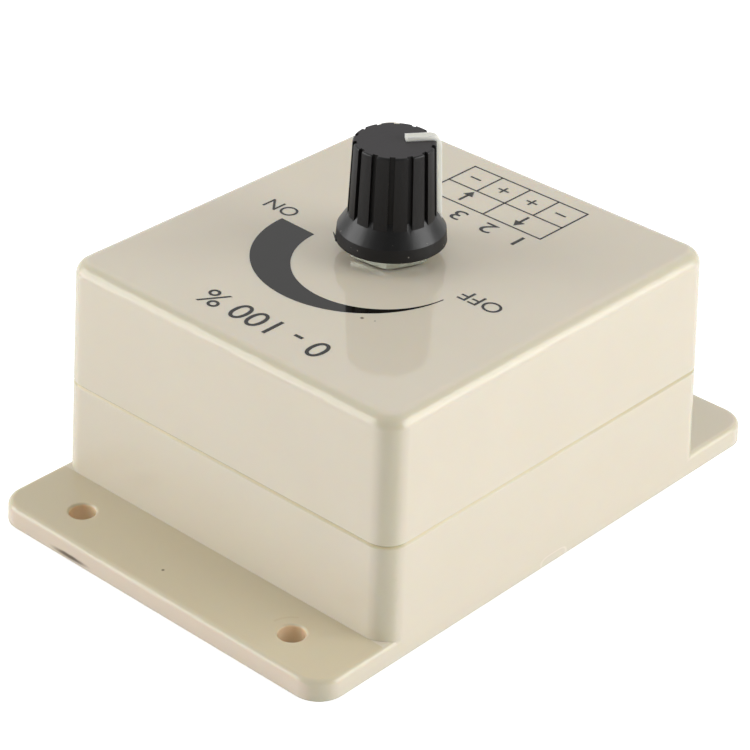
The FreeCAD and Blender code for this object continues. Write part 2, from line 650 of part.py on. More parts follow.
# Potentiometer, from its front plate down to the rotor
def make_potentiometer():
    plate = post(KNOB_X, KNOB_Y, PLATE_BOTTOM, CEILING_Z, POT_RADIUS)
    neck = post(KNOB_X, KNOB_Y, CEILING_Z, NECK_TOP, NECK_RADIUS)
    bore = post(KNOB_X, KNOB_Y, PLATE_BOTTOM - CUT_MARGIN, NECK_TOP + CUT_MARGIN, SHAFT_RADIUS + SHAFT_RUNNING_GAP)
    parts["pot_neck_plate"] = plate.fuse([neck, pot_lug(0.0)]).cut(bore)

    tail_end = KNOB_Y + POT_RADIUS + WAFER_TAIL_LENGTH
    wafer = post(KNOB_X, KNOB_Y, WAFER_BOTTOM, PLATE_BOTTOM, POT_RADIUS)
    tail = block(KNOB_X - WAFER_TAIL_WIDTH / 2, KNOB_X + WAFER_TAIL_WIDTH / 2, KNOB_Y, tail_end,
                 WAFER_BOTTOM, PLATE_BOTTOM)
    opening = post(KNOB_X, KNOB_Y, WAFER_BOTTOM - CUT_MARGIN, CEILING_Z, SHAFT_RADIUS + WAFER_SHAFT_GAP)
    parts["pot_wafer"] = wafer.fuse(tail).cut(opening)

    track_start = 90 + (360.0 - TRACK_SWEEP_DEG) / 2
    band = Part.Face(Part.makePolygon([V(TRACK_INNER_RADIUS, 0, 0), V(TRACK_OUTER_RADIUS, 0, 0),
                                       V(TRACK_OUTER_RADIUS, 0, TRACK_THICKNESS),
                                       V(TRACK_INNER_RADIUS, 0, TRACK_THICKNESS), V(TRACK_INNER_RADIUS, 0, 0)]))
    track = band.revolve(V(0, 0, 0), UP, TRACK_SWEEP_DEG)
    track.rotate(V(0, 0, 0), UP, track_start)
    track.translate(V(KNOB_X, KNOB_Y, TRACK_BOTTOM))
    parts["pot_track"] = track

    can_outer = post(KNOB_X, KNOB_Y, CAN_BOTTOM, CEILING_Z - POT_PLATE_THICKNESS / 2, POT_RADIUS + POT_CAN_WALL)
    can_inner = post(KNOB_X, KNOB_Y, CAN_BOTTOM + POT_CAN_WALL, CEILING_Z, POT_RADIUS)
    tail_slot = block(KNOB_X - WAFER_TAIL_WIDTH / 2, KNOB_X + WAFER_TAIL_WIDTH / 2, KNOB_Y, tail_end,
                      WAFER_BOTTOM - TERMINAL_THICKNESS - POT_CAN_WALL, CEILING_Z)
    stop = sector(POT_RADIUS + POT_CAN_WALL / 2, ROTOR_RADIUS + STOP_GAP, STOP_HALF_DEG,
                  ROTOR_BOTTOM, ROTOR_TOP, POINTER_ANGLE_DEG + (360.0 - KNOB_TURN_DEG) / 2)
    parts["pot_can"] = can_outer.cut([can_inner, tail_slot]).fuse(stop)

    shaft = post(KNOB_X, KNOB_Y, ROTOR_BOTTOM, SHAFT_TOP, SHAFT_RADIUS)
    split = block(-SHAFT_RADIUS - CUT_MARGIN, SHAFT_RADIUS + CUT_MARGIN, -SHAFT_SPLIT_WIDTH / 2, SHAFT_SPLIT_WIDTH / 2,
                  SHAFT_TOP - SHAFT_SPLIT_DEPTH, SHAFT_TOP + CUT_MARGIN)
    split.rotate(V(0, 0, 0), UP, POINTER_ANGLE_DEG)
    split.translate(V(KNOB_X, KNOB_Y, 0))
    shaft_cuts = [split]
    for tooth in range(KNURL_COUNT):
        angle = math.radians(POINTER_ANGLE_DEG + (tooth + 0.5) * 360.0 / KNURL_COUNT)
        shaft_cuts.append(post(KNOB_X + SHAFT_RADIUS * math.cos(angle), KNOB_Y + SHAFT_RADIUS * math.sin(angle),
                               SHAFT_TOP - KNURL_LENGTH, SHAFT_TOP + CUT_MARGIN, KNURL_DEPTH))
    groove_radius = SHAFT_RADIUS - CIRCLIP_GROOVE_DEPTH
    shaft_cuts.append(ring(KNOB_X, KNOB_Y, CIRCLIP_BOTTOM, CIRCLIP_BOTTOM + CIRCLIP_THICKNESS,
                           SHAFT_RADIUS + CUT_MARGIN, groove_radius))
    parts["pot_shaft"] = shaft.cut(shaft_cuts)

    clip = ring(0, 0, 0, CIRCLIP_THICKNESS, CIRCLIP_OUTER_RADIUS, groove_radius)
    mouth = block(0, CIRCLIP_OUTER_RADIUS + CUT_MARGIN, -CIRCLIP_MOUTH / 2, CIRCLIP_MOUTH / 2,
                  -CUT_MARGIN, CIRCLIP_THICKNESS + CUT_MARGIN)
    clip = clip.cut(mouth)
    clip.rotate(V(0, 0, 0), UP, POINTER_ANGLE_DEG)
    clip.translate(V(KNOB_X, KNOB_Y, CIRCLIP_BOTTOM))
    parts["pot_circlip"] = clip

    rotor = ring(KNOB_X, KNOB_Y, ROTOR_BOTTOM, ROTOR_TOP, ROTOR_RADIUS, SHAFT_RADIUS)
    lug = sector(ROTOR_RADIUS + ROTOR_STOP_REACH, SHAFT_RADIUS + CUT_MARGIN, ROTOR_STOP_HALF_DEG,
                 ROTOR_BOTTOM, ROTOR_TOP, POINTER_ANGLE_DEG)
    parts["pot_rotor"] = rotor.fuse(lug)
    make_wiper()
    make_pot_terminals(tail_end)


def sector(outer, inner, half_deg, z0, z1, turn_deg):
    """A curved block about the knob axis, centred on one direction."""
    face = Part.Face(Part.makePolygon([V(inner, 0, z0), V(outer, 0, z0), V(outer, 0, z1), V(inner, 0, z1),
                                       V(inner, 0, z0)]))
    solid = face.revolve(V(0, 0, 0), UP, 2 * half_deg)
    solid.rotate(V(0, 0, 0), UP, turn_deg - half_deg)
    solid.translate(V(KNOB_X, KNOB_Y, 0))
    return solid


def make_wiper():
    """A sprung brass finger that climbs from the rotor to the track."""
    tip = TRACK_BOTTOM - WIPER_TRACK_GAP
    track_middle = (TRACK_INNER_RADIUS + TRACK_OUTER_RADIUS) / 2
    collar = ring(0, 0, ROTOR_TOP, ROTOR_TOP + WIPER_THICKNESS, TRACK_INNER_RADIUS, SHAFT_RADIUS + WAFER_SHAFT_GAP)
    fingers = []
    for side in (-1, 1):
        y0 = track_middle - WIPER_WIDTH / 2
        foot = block(-TRACK_INNER_RADIUS / 2, WIPER_WIDTH / 2, y0 - WIPER_WIDTH, y0 + WIPER_WIDTH,
                     ROTOR_TOP, ROTOR_TOP + WIPER_THICKNESS)
        riser = block(-WIPER_THICKNESS, 0, y0, y0 + WIPER_WIDTH, ROTOR_TOP, tip)
        finger = foot.fuse(riser)
        if side < 0:
            finger.rotate(V(0, 0, 0), UP, 180)
        fingers.append(finger)
    wiper = collar.fuse(fingers)
    wiper.rotate(V(0, 0, 0), UP, POINTER_ANGLE_DEG)
    wiper.translate(V(KNOB_X, KNOB_Y, 0))
    parts["pot_wiper"] = wiper


def make_pot_terminals(tail_end):
    terminals = []
    leads = []
    for way in (-1, 0, 1):
        x = KNOB_X + way * TERMINAL_PITCH
        under = WAFER_BOTTOM - TERMINAL_THICKNESS
        flat = block(x - TERMINAL_WIDTH / 2, x + TERMINAL_WIDTH / 2, tail_end - WAFER_TAIL_LENGTH + POT_CAN_WALL,
                     tail_end + TERMINAL_THICKNESS, under, WAFER_BOTTOM)
        leg = block(x - TERMINAL_WIDTH / 2, x + TERMINAL_WIDTH / 2, tail_end, tail_end + TERMINAL_THICKNESS,
                    WAFER_BOTTOM - TERMINAL_DROP, WAFER_BOTTOM)
        terminals.append(flat.fuse(leg))
        start_y = tail_end + TERMINAL_THICKNESS / 2
        start_z = WAFER_BOTTOM - TERMINAL_DROP
        run = (start_z - BOARD_TOP) / 3
        points = [V(x, start_y, start_z), V(x, start_y, start_z - run),
                  V(x, start_y + LEAD_STEP_Y, BOARD_TOP + run), V(x, start_y + LEAD_STEP_Y, BOARD_TOP)]
        bare_end = post(x, start_y + LEAD_STEP_Y, BOARD_TOP - LEAD_TIP, BOARD_TOP, LEAD_CORE_RADIUS)
        leads.append(tube(points, LEAD_RADIUS, run / 2).fuse(bare_end))
    parts["pot_terminals"] = together(terminals)
    parts["pot_leads"] = together(leads)


def pot_lead_places():
    y = KNOB_Y + POT_RADIUS + WAFER_TAIL_LENGTH + TERMINAL_THICKNESS / 2 + LEAD_STEP_Y
    return [(KNOB_X + way * TERMINAL_PITCH, y) for way in (-1, 0, 1)]


# Header: the fixed half of the terminal block, flush in the case's window
def make_header():
    housing = block(-HEADER_HALF, HEADER_HALF, HEADER_FRONT, HEADER_BACK, BOARD_TOP, BOARD_TOP + HEADER_HEIGHT)
    cavity_end = PLUG_TIP + PLUG_END_GAP
    cavity_half = HEADER_HALF - HEADER_END_WALL
    cavity = block(-cavity_half, cavity_half, HEADER_FRONT - CUT_MARGIN, cavity_end,
                   BOARD_TOP + HEADER_SKIN, BOARD_TOP + HEADER_HEIGHT - HEADER_SKIN)
    pins = []
    pin_cuts = []
    half = PIN_SIDE / 2
    tail_y = HEADER_BACK + PIN_TAIL_SET_BACK
    for x in POLE_XS:
        tip = cavity_end - PIN_REACH
        rail = block(x - half, x + half, tip, tail_y + half, PIN_Z - half, PIN_Z + half)
        tail = block(x - half, x + half, tail_y - half, tail_y + half, BOARD_BOTTOM - BOARD_TAIL, PIN_Z + half)
        pins.append(rail.fuse(tail))
        pin_cuts.append(rail)
    parts["header_housing"] = housing.cut([cavity] + pin_cuts)
    parts["header_pins"] = together(pins)


# Plug: the removable half, with a wire entry, a clamp and a screw for each pole
def make_plug():
    rear = block(-PLUG_HALF, PLUG_HALF, PLUG_REAR, PLUG_FACE, PLUG_BOTTOM, PLUG_TOP)
    top_edges = [edge for edge in edges_at(rear, PLUG_TOP) if edge.BoundBox.YLength < 1e-4]
    rear = rear.makeChamfer(PLUG_EDGE_BEVEL, top_edges)
    insert_low = BOARD_TOP + HEADER_SKIN + PLUG_INSERT_GAP
    insert_high = BOARD_TOP + HEADER_HEIGHT - HEADER_SKIN - PLUG_INSERT_GAP
    insert = block(-PLUG_HALF, PLUG_HALF, PLUG_FACE - CUT_MARGIN, PLUG_TIP, insert_low, insert_high)
    housing = rear.fuse(insert)
    contacts = []
    cuts = []
    for index, x in enumerate(POLE_XS):
        contact = plug_contact(x)
        contacts.append(contact)
        cuts.extend(pole_cuts(x))
        make_clamp(x, index + 1)
        make_terminal_screw(x, index + 1)
    parts["plug_housing"] = housing.cut(cuts)
    parts["plug_contacts"] = together(contacts)


def socket_half():
    return PIN_SIDE / 2 + SOCKET_PIN_GAP + SOCKET_WALL


def plug_contact(x):
    """A pin socket in one piece with the bar that the wire is pressed against."""
    half = socket_half()
    front = PLUG_TIP - PLUG_END_GAP
    socket = block(x - half, x + half, front - SOCKET_LENGTH, front, PIN_Z - half, PIN_Z + half)
    hole_half = PIN_SIDE / 2 + SOCKET_PIN_GAP
    hole = block(x - hole_half, x + hole_half, front - SOCKET_LENGTH + SOCKET_WALL, front + CUT_MARGIN,
                 PIN_Z - hole_half, PIN_Z + hole_half)
    bar_end = CLAMP_Y - CLAMP_LENGTH / 2 + BAR_END_GAP
    bar = block(x - BAR_WIDTH / 2, x + BAR_WIDTH / 2, bar_end, front - SOCKET_LENGTH + SOCKET_WALL / 2,
                BAR_BOTTOM, BAR_TOP)
    return socket.cut(hole).fuse(bar)


def pole_cuts(x):
    half = socket_half() + SOCKET_SEAT_GAP
    pin_half = PIN_SIDE / 2 + SOCKET_PIN_GAP
    chamber_half = CLAMP_WIDTH / 2 + CLAMP_SIDE_GAP
    chamber_low = CLAMP_Y - CLAMP_LENGTH / 2 - CLAMP_END_GAP
    chamber_high = CLAMP_Y + CLAMP_LENGTH / 2 + CLAMP_END_GAP
    socket_room = block(x - half, x + half, PLUG_TIP - PLUG_END_GAP - SOCKET_LENGTH, PLUG_TIP - PLUG_END_GAP,
                        PIN_Z - half, PIN_Z + half)
    pin_entry = block(x - pin_half, x + pin_half, PLUG_TIP - CUT_MARGIN, PLUG_TIP + CUT_MARGIN,
                      PIN_Z - pin_half, PIN_Z + pin_half)
    bar_room = block(x - BAR_WIDTH / 2, x + BAR_WIDTH / 2, chamber_low, PLUG_TIP - SOCKET_LENGTH, BAR_BOTTOM, BAR_TOP)
    chamber = block(x - chamber_half, x + chamber_half, chamber_low, chamber_high, CHAMBER_BOTTOM, CHAMBER_TOP)
    screw_hole = post(x, CLAMP_Y, CHAMBER_TOP - CUT_MARGIN, PLUG_TOP, TERMINAL_SCREW_RADIUS + TERMINAL_SCREW_WELL_GAP)
    well = post(x, CLAMP_Y, WELL_FLOOR, PLUG_TOP + CUT_MARGIN, TERMINAL_SCREW_HEAD_RADIUS + TERMINAL_SCREW_WELL_GAP)
    return [socket_room, pin_entry, bar_room, chamber, screw_hole, well, wire_entry(x, chamber_low)]


def wire_entry(x, chamber_low):
    """The square wire hole with a bevelled mouth."""
    half = WIRE_ENTRY_WIDTH / 2
    low = BAR_BOTTOM - CLAMP_MOUTH + WIRE_ENTRY_LIP
    high = BAR_BOTTOM
    hole = block(x - half, x + half, PLUG_REAR - CUT_MARGIN, chamber_low + CUT_MARGIN, low, high)
    mouth = WIRE_ENTRY_BEVEL

    def frame_at(y, grow):
        corners = [V(x - half - grow, y, low - grow), V(x + half + grow, y, low - grow),
                   V(x + half + grow, y, high + grow), V(x - half - grow, y, high + grow)]
        return Part.makePolygon(corners + corners[:1])

    bevel = Part.makeLoft([frame_at(PLUG_REAR, mouth), frame_at(PLUG_REAR + mouth, 0.0)], True, True)
    return hole.fuse(bevel)


def make_clamp(x, number):
    """A rising cage: the screw draws it up and squeezes the wire against the bar."""
    half = CLAMP_WIDTH / 2
    y0 = CLAMP_Y - CLAMP_LENGTH / 2
    y1 = CLAMP_Y + CLAMP_LENGTH / 2
    floor_top = BAR_BOTTOM - CLAMP_MOUTH
    cage = block(x - half, x + half, y0, y1, floor_top - CLAMP_SKIN, CLAMP_TOP_UNDER + CLAMP_TOP_THICKNESS)
    window = block(x - half + CLAMP_SKIN, x + half - CLAMP_SKIN, y0 - CUT_MARGIN, y1 + CUT_MARGIN,
                   floor_top, CLAMP_TOP_UNDER)
    thread = post(x, CLAMP_Y, CLAMP_TOP_UNDER - CUT_MARGIN, CHAMBER_TOP + CUT_MARGIN,
                  TERMINAL_SCREW_RADIUS + TERMINAL_SCREW_GAP)
    parts["wire_clamp_%d" % number] = cage.cut([window, thread])


def make_terminal_screw(x, number):
    head = slotted_head(x, CLAMP_Y, SCREW_HEAD_BOTTOM, TERMINAL_SCREW_HEAD_HEIGHT, TERMINAL_SCREW_HEAD_RADIUS,
                        (number % 3) * 30.0)
    shank = post(x, CLAMP_Y, BAR_TOP + TERMINAL_SCREW_GAP, SCREW_HEAD_BOTTOM, TERMINAL_SCREW_RADIUS)
    parts["terminal_screw_%d" % number] = head.fuse(shank)


# Power transistor: a copper lead frame half buried in its moulded body
def make_transistor():
    x1 = SINK_FACE_X
    x0 = x1 - TRANSISTOR_THICKNESS
    low = BOARD_TOP + TRANSISTOR_LIFT
    body_top = low + TRANSISTOR_BODY_HEIGHT
    tab_top = body_top + TAB_RISE
    y0 = TRANSISTOR_Y - TRANSISTOR_WIDTH / 2
    y1 = TRANSISTOR_Y + TRANSISTOR_WIDTH / 2
    tab = block(x1 - TAB_THICKNESS, x1, y0, y1, low, tab_top)
    hole_z = tab_top - TAB_HOLE_DROP
    hole = Part.makeCylinder(TAB_HOLE_RADIUS, TAB_THICKNESS + 2 * CUT_MARGIN,
                             V(x1 - TAB_THICKNESS - CUT_MARGIN, TRANSISTOR_Y, hole_z), V(1, 0, 0))
    body = block(x0, x1, y0, y1, low, body_top).cut(tab)
    legs = []
    leg_x = x0 + TRANSISTOR_THICKNESS / 2
    for way in (-1, 0, 1):
        y = TRANSISTOR_Y + way * LEAD_PITCH
        legs.append(block(leg_x - FLAT_LEAD_THICKNESS / 2, leg_x + FLAT_LEAD_THICKNESS / 2,
                          y - FLAT_LEAD_WIDTH / 2, y + FLAT_LEAD_WIDTH / 2, BOARD_BOTTOM - BOARD_TAIL, low))
    parts["transistor_body"] = body
    parts["transistor_tab"] = tab.cut(hole)
    parts["transistor_legs"] = together(legs)

    sink_top = BOARD_TOP + SINK_HEIGHT
    fin_pitch = (SINK_WIDTH - SINK_FIN_THICKNESS) / (SINK_FINS - 1)
    sink_y0 = TRANSISTOR_Y - SINK_WIDTH / 2
    plate = block(x1, x1 + SINK_BASE, sink_y0, sink_y0 + SINK_WIDTH, BOARD_TOP, sink_top)
    fins = []
    for fin in range(SINK_FINS):
        y = sink_y0 + fin * fin_pitch
        fins.append(block(x1 + SINK_BASE, x1 + SINK_BASE + SINK_FIN_REACH, y, y + SINK_FIN_THICKNESS,
                          BOARD_TOP, sink_top))
    tapping = Part.makeCylinder(SINK_SCREW_RADIUS + SCREW_THREAD_GAP, SINK_BASE + 2 * CUT_MARGIN,
                                V(x1 - CUT_MARGIN, TRANSISTOR_Y, hole_z), V(1, 0, 0))
    parts["heat_sink"] = plate.fuse(fins).cut(tapping)
    head = slotted_head(0, 0, 0, SINK_SCREW_HEAD_HEIGHT, SINK_SCREW_HEAD_RADIUS)
    screw = head.fuse(post(0, 0, -TAB_THICKNESS - SINK_BASE, 0, SINK_SCREW_RADIUS))
    screw.rotate(V(0, 0, 0), V(0, 1, 0), -90)
    screw.translate(V(x1 - TAB_THICKNESS, TRANSISTOR_Y, hole_z))
    parts["heat_sink_screw"] = screw


def transistor_leg_places():
    leg_x = SINK_FACE_X - TRANSISTOR_THICKNESS / 2
    return [(leg_x, TRANSISTOR_Y + way * LEAD_PITCH) for way in (-1, 0, 1)]


# Standing electrolytic capacitors
def make_capacitor(name, x, y, radius, height):
    seal_top = BOARD_TOP + CAP_SEAL_HEIGHT
    groove_middle = seal_top + CAP_GROOVE_DEPTH
    inner = radius - CAP_CAN_WALL
    can = turned([(inner, 0), (radius, 0), (radius, CAP_SEAL_HEIGHT), (radius - CAP_GROOVE_DEPTH / 2,
                  CAP_SEAL_HEIGHT + CAP_GROOVE_DEPTH), (radius, CAP_SEAL_HEIGHT + 2 * CAP_GROOVE_DEPTH),
                  (radius, height), (0, height), (0, CAP_SEAL_HEIGHT), (inner, CAP_SEAL_HEIGHT)], x, y, BOARD_TOP)
    offset = radius * CAP_LEAD_SHARE
    leads = []
    holes = []
    for side in (-1, 1):
        lead = post(x + side * offset, y, BOARD_BOTTOM - BOARD_TAIL, seal_top, CAP_LEAD_RADIUS)
        leads.append(lead)
        holes.append(lead)
    seal = post(x, y, BOARD_TOP, seal_top, inner)
    parts[name] = can
    parts[name + "_seal"] = seal.cut(holes)
    parts[name + "_leads"] = together(leads)


def capacitor_lead_places():
    places = []
    for x, y, radius in ((MAIN_CAP_X, MAIN_CAP_Y, MAIN_CAP_RADIUS), (SMALL_CAP_X, SMALL_CAP_Y, SMALL_CAP_RADIUS)):
        for side in (-1, 1):
            places.append((x + side * radius * CAP_LEAD_SHARE, y))
    return places


# Timer chip with four legs a side
def make_chip():
    low = BOARD_TOP + CHIP_LIFT
    body = block(CHIP_X - CHIP_LENGTH / 2, CHIP_X + CHIP_LENGTH / 2, CHIP_Y - CHIP_WIDTH / 2, CHIP_Y + CHIP_WIDTH / 2,
                 low, low + CHIP_THICKNESS)
    notch = post(CHIP_X - CHIP_LENGTH / 2, CHIP_Y, low + CHIP_THICKNESS / 2, low + CHIP_THICKNESS + CUT_MARGIN,
                 CHIP_NOTCH_RADIUS)
    legs = []
    middle = low + CHIP_THICKNESS / 2
    for x, y, side in chip_leg_places():
        wall = CHIP_Y + side * CHIP_WIDTH / 2
        y_inner = min(wall, y + side * CHIP_LEG_THICKNESS / 2)
        y_outer = max(wall, y + side * CHIP_LEG_THICKNESS / 2)
        shoulder = block(x - CHIP_LEG_WIDTH / 2, x + CHIP_LEG_WIDTH / 2, y_inner, y_outer,
                         middle - CHIP_LEG_THICKNESS, middle)
        leg = block(x - CHIP_LEG_WIDTH / 2, x + CHIP_LEG_WIDTH / 2, y - CHIP_LEG_THICKNESS / 2,
                    y + CHIP_LEG_THICKNESS / 2, BOARD_BOTTOM - BOARD_TAIL, middle)
        legs.append(shoulder.fuse(leg))
    parts["timer_chip"] = body.cut(notch)
    parts["timer_chip_legs"] = together(legs)


def chip_leg_places():
    places = []
    for way in range(4):
        for side in (-1, 1):
            x = CHIP_X + (way - 1.5) * LEAD_PITCH
            places.append((x, CHIP_Y + side * (CHIP_WIDTH / 2 + CHIP_LEG_SPREAD), side))
    return places


# Regulator in a half-round case
def make_regulator():
    low = BOARD_TOP + REGULATOR_LIFT
    body = post(REGULATOR_X, REGULATOR_Y, low, low + REGULATOR_HEIGHT, REGULATOR_RADIUS)
    flat_side = block(REGULATOR_X - REGULATOR_RADIUS, REGULATOR_X + REGULATOR_RADIUS, REGULATOR_Y + REGULATOR_FLAT,
                      REGULATOR_Y + REGULATOR_RADIUS + CUT_MARGIN, low, low + REGULATOR_HEIGHT)
    half = REGULATOR_LEAD / 2
    legs = []
    for x, y in regulator_leg_places():
        legs.append(block(x - half, x + half, y - half, y + half, BOARD_BOTTOM - BOARD_TAIL, low))
    parts["regulator"] = body.cut(flat_side)
    parts["regulator_legs"] = together(legs)


def regulator_leg_places():
    return [(REGULATOR_X + way * REGULATOR_PITCH, REGULATOR_Y) for way in (-1, 0, 1)]


# Parts that lie on the board between two bent leads
def lying_part(x, y, along, length, radius, span):
    """A round body on the board and its two leads; along is the unit direction of the body."""
    centre = V(x, y, BOARD_TOP + radius)
    body = Part.makeCylinder(radius, length, centre - along * (length / 2), along)
    leads = []
    for side in (-1, 1):
        start = centre + along * (side * length / 2)
        corner = centre + along * (side * span / 2)
        foot = V(corner.x, corner.y, BOARD_BOTTOM - BOARD_TAIL)
        leads.append(tube([start, corner, foot], AXIAL_LEAD_RADIUS, BEND_RADIUS))
    return body, leads


def resistor_places():
    return [(RESISTOR_ROW_X, RESISTOR_ROW_Y + row * RESISTOR_ROW_STEP) for row in range(RESISTORS)]


def make_lying_parts():
    bodies = []
    leads = []
    for x, y in resistor_places():
        body, pair = lying_part(x, y, V(1, 0, 0), RESISTOR_LENGTH, RESISTOR_RADIUS, RESISTOR_SPAN)
        bodies.append(body)
        leads.extend(pair)
    parts["resistors"] = together(bodies)
    parts["resistor_leads"] = together(leads)
    body, pair = lying_part(DIODE_X, DIODE_Y, V(1, 0, 0), DIODE_LENGTH, DIODE_RADIUS, DIODE_SPAN)
    parts["power_diode"] = body
    parts["power_diode_leads"] = together(pair)


def disc_places():
    return [(DISC_X, DISC_Y - row * DISC_STEP) for row in range(DISCS)]


def make_discs():
    discs = []
    leads = []
    for x, y in disc_places():
        centre_z = BOARD_TOP + DISC_LIFT + DISC_RADIUS
        disc = Part.makeCylinder(DISC_RADIUS, DISC_THICKNESS, V(x, y - DISC_THICKNESS / 2, centre_z), V(0, 1, 0))
        pair = []
        for side in (-1, 1):
            pair.append(post(x + side * DISC_PITCH / 2, y, BOARD_BOTTOM - BOARD_TAIL, centre_z, CAP_LEAD_RADIUS))
        discs.append(disc.cut(pair))
        leads.extend(pair)
    parts["disc_capacitors"] = together(discs)
    parts["disc_capacitor_leads"] = together(leads)


# Circuit board, with a hole for each lead, cleared round the screw posts
def make_board():
    board = block(-BOARD_HALF_X, BOARD_HALF_X, -BOARD_HALF_Y, BOARD_HALF_Y, BOARD_BOTTOM, BOARD_TOP)
    low = BOARD_BOTTOM - CUT_MARGIN
    high = BOARD_TOP + CUT_MARGIN
    cuts = []
    for x, y in corner_places(POST_X, POST_Y):
        room = SCREW_POST_RADIUS + BOARD_POST_GAP
        x0, x1 = sorted((x - math.copysign(room, x), x + math.copysign(room, x)))
        y0, y1 = sorted((y - math.copysign(room, y), y + math.copysign(room, y)))
        cuts.append(block(x0, x1, y0, y1, low, high))
    for x, y in corner_places(STANDOFF_X, STANDOFF_Y):
        cuts.append(post(x, y, low, high, BOARD_SCREW_RADIUS + SCREW_HOLE_GAP))
    pin_half = PIN_SIDE / 2 * math.sqrt(2)
    tail_y = HEADER_BACK + PIN_TAIL_SET_BACK
    holes = [(x, tail_y, pin_half) for x in POLE_XS]
    holes += [(x, y, LEAD_CORE_RADIUS) for x, y in pot_lead_places()]
    holes += [(x, y, FLAT_LEAD_WIDTH / 2 + PIN_HOLE_GAP) for x, y in transistor_leg_places()]
    holes += [(x, y, CAP_LEAD_RADIUS) for x, y in capacitor_lead_places()]
    holes += [(x, y, CHIP_LEG_WIDTH / 2 + PIN_HOLE_GAP) for x, y, side in chip_leg_places()]
    holes += [(x, y, REGULATOR_LEAD / 2 * math.sqrt(2)) for x, y in regulator_leg_places()]
    for x, y in resistor_places():
        holes += [(x + side * RESISTOR_SPAN / 2, y, AXIAL_LEAD_RADIUS) for side in (-1, 1)]
    holes += [(DIODE_X + side * DIODE_SPAN / 2, DIODE_Y, AXIAL_LEAD_RADIUS) for side in (-1, 1)]
    for x, y in disc_places():
        holes += [(x + side * DISC_PITCH / 2, y, CAP_LEAD_RADIUS) for side in (-1, 1)]
    for x, y, radius in holes:
        cuts.append(post(x, y, low, high, radius + PIN_HOLE_GAP))
    parts["circuit_board"] = board.cut(cuts)


make_base_shell()
make_top_cover()
make_screws()
make_knob()
make_nut()
make_potentiometer()
make_header()
make_plug()
make_transistor()
make_capacitor("main_capacitor", MAIN_CAP_X, MAIN_CAP_Y, MAIN_CAP_RADIUS, MAIN_CAP_HEIGHT)
make_capacitor("small_capacitor", SMALL_CAP_X, SMALL_CAP_Y, SMALL_CAP_RADIUS, SMALL_CAP_HEIGHT)
make_chip()
make_regulator()
make_lying_parts()
make_discs()
make_board()

os.makedirs("parts", exist_ok=True)
for name, shape in parts.items():
    print(name, "solids", len(shape.Solids), "volume", round(shape.Volume, 2), "valid", shape.isValid())
    shape.exportStep("parts/" + name + ".step")
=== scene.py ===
import json
import math
import bpy
from mathutils import Matrix, Vector


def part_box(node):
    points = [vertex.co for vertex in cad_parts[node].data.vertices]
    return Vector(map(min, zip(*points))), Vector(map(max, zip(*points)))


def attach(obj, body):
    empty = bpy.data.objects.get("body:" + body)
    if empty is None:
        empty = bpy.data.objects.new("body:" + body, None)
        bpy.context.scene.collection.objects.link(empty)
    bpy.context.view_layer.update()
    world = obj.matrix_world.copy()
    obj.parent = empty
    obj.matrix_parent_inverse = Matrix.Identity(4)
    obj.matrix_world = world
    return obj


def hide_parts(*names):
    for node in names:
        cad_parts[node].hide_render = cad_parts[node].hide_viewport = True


# Knob dimmer for light strips, dressed round its packed construction. Metres, in the construction's frame.
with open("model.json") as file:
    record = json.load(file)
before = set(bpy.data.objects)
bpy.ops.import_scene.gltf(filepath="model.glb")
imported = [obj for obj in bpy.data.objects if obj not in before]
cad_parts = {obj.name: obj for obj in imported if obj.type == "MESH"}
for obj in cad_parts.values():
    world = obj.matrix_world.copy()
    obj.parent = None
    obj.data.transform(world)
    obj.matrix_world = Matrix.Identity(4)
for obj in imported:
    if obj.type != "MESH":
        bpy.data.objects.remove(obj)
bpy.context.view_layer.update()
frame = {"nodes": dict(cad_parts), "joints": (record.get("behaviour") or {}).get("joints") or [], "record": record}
bpy.ops.object.select_all(action="DESELECT")


# Case
# Two injection moulded shells in ivory plastic: the lower one carries the fixing flanges, the upper one the
# control. Top and sides come polished from the mould, and the thin material lets a little light in.
MM = 0.001
IVORY = (224, 215, 197)
IVORY_SHADE = (219, 210, 191)
FLOW_MARK = 14 * MM
# Painted warm shade on the rounded edges and corners of the case, and how strongly it is laid on.
EDGE_PAINTED_SHADE = (211, 204, 179)
EDGE_SHADE_STRENGTH = 0.8
CASE_EDGE = 0.12 * MM
CASE_SMOOTH_ANGLE = math.radians(32)

TOP_ROUGHNESS = 0.04
SIDE_ROUGHNESS = 0.16
FLANGE_ROUGHENING = 0.02
MOULD_GRAIN = 0.9 * MM
GRAIN_ROUGHENING = 0.03
SURFACE_WAVE = 5 * MM
SURFACE_WAVE_DEPTH = 0.006 * MM
PLASTIC_IOR = 1.5
IVORY_TRANSLUCENCY = 0.4
IVORY_LIGHT_REACH = 1.2 * MM
IVORY_LIGHT_SHARES = (1.0, 0.62, 0.3)

FIXING = frame["record"]["mounts"][0]
FLANGE_TOP = FIXING["pos_m"][2]
FLANGE_TOP_SLACK = 0.02 * MM
FLANGE_START = 32.6 * MM
FLANGE_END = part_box("base_shell")[1].y
# Painted shade on the top of the near flange, beside the wall.
PAINTED_FLANGE_SHADE = (213, 202, 174)
# Painted warm shade on the end faces of the flanges.
FLANGE_END_PAINTED_SHADE = (222, 207, 188)
SEAM_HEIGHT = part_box("base_shell")[1].z
# Painted shade in the groove of the seam: its half width and its tone.
SEAM_HALF = 0.24 * MM
SEAM_PAINTED_SHADE = (216, 204, 170)

HOLE_X = FIXING["dims"]["spacing_x_mm"] * MM / 2
HOLE_Y = FIXING["dims"]["spacing_y_mm"] * MM / 2
HOLE_RADIUS = FIXING["dims"]["hole_r_mm"] * MM
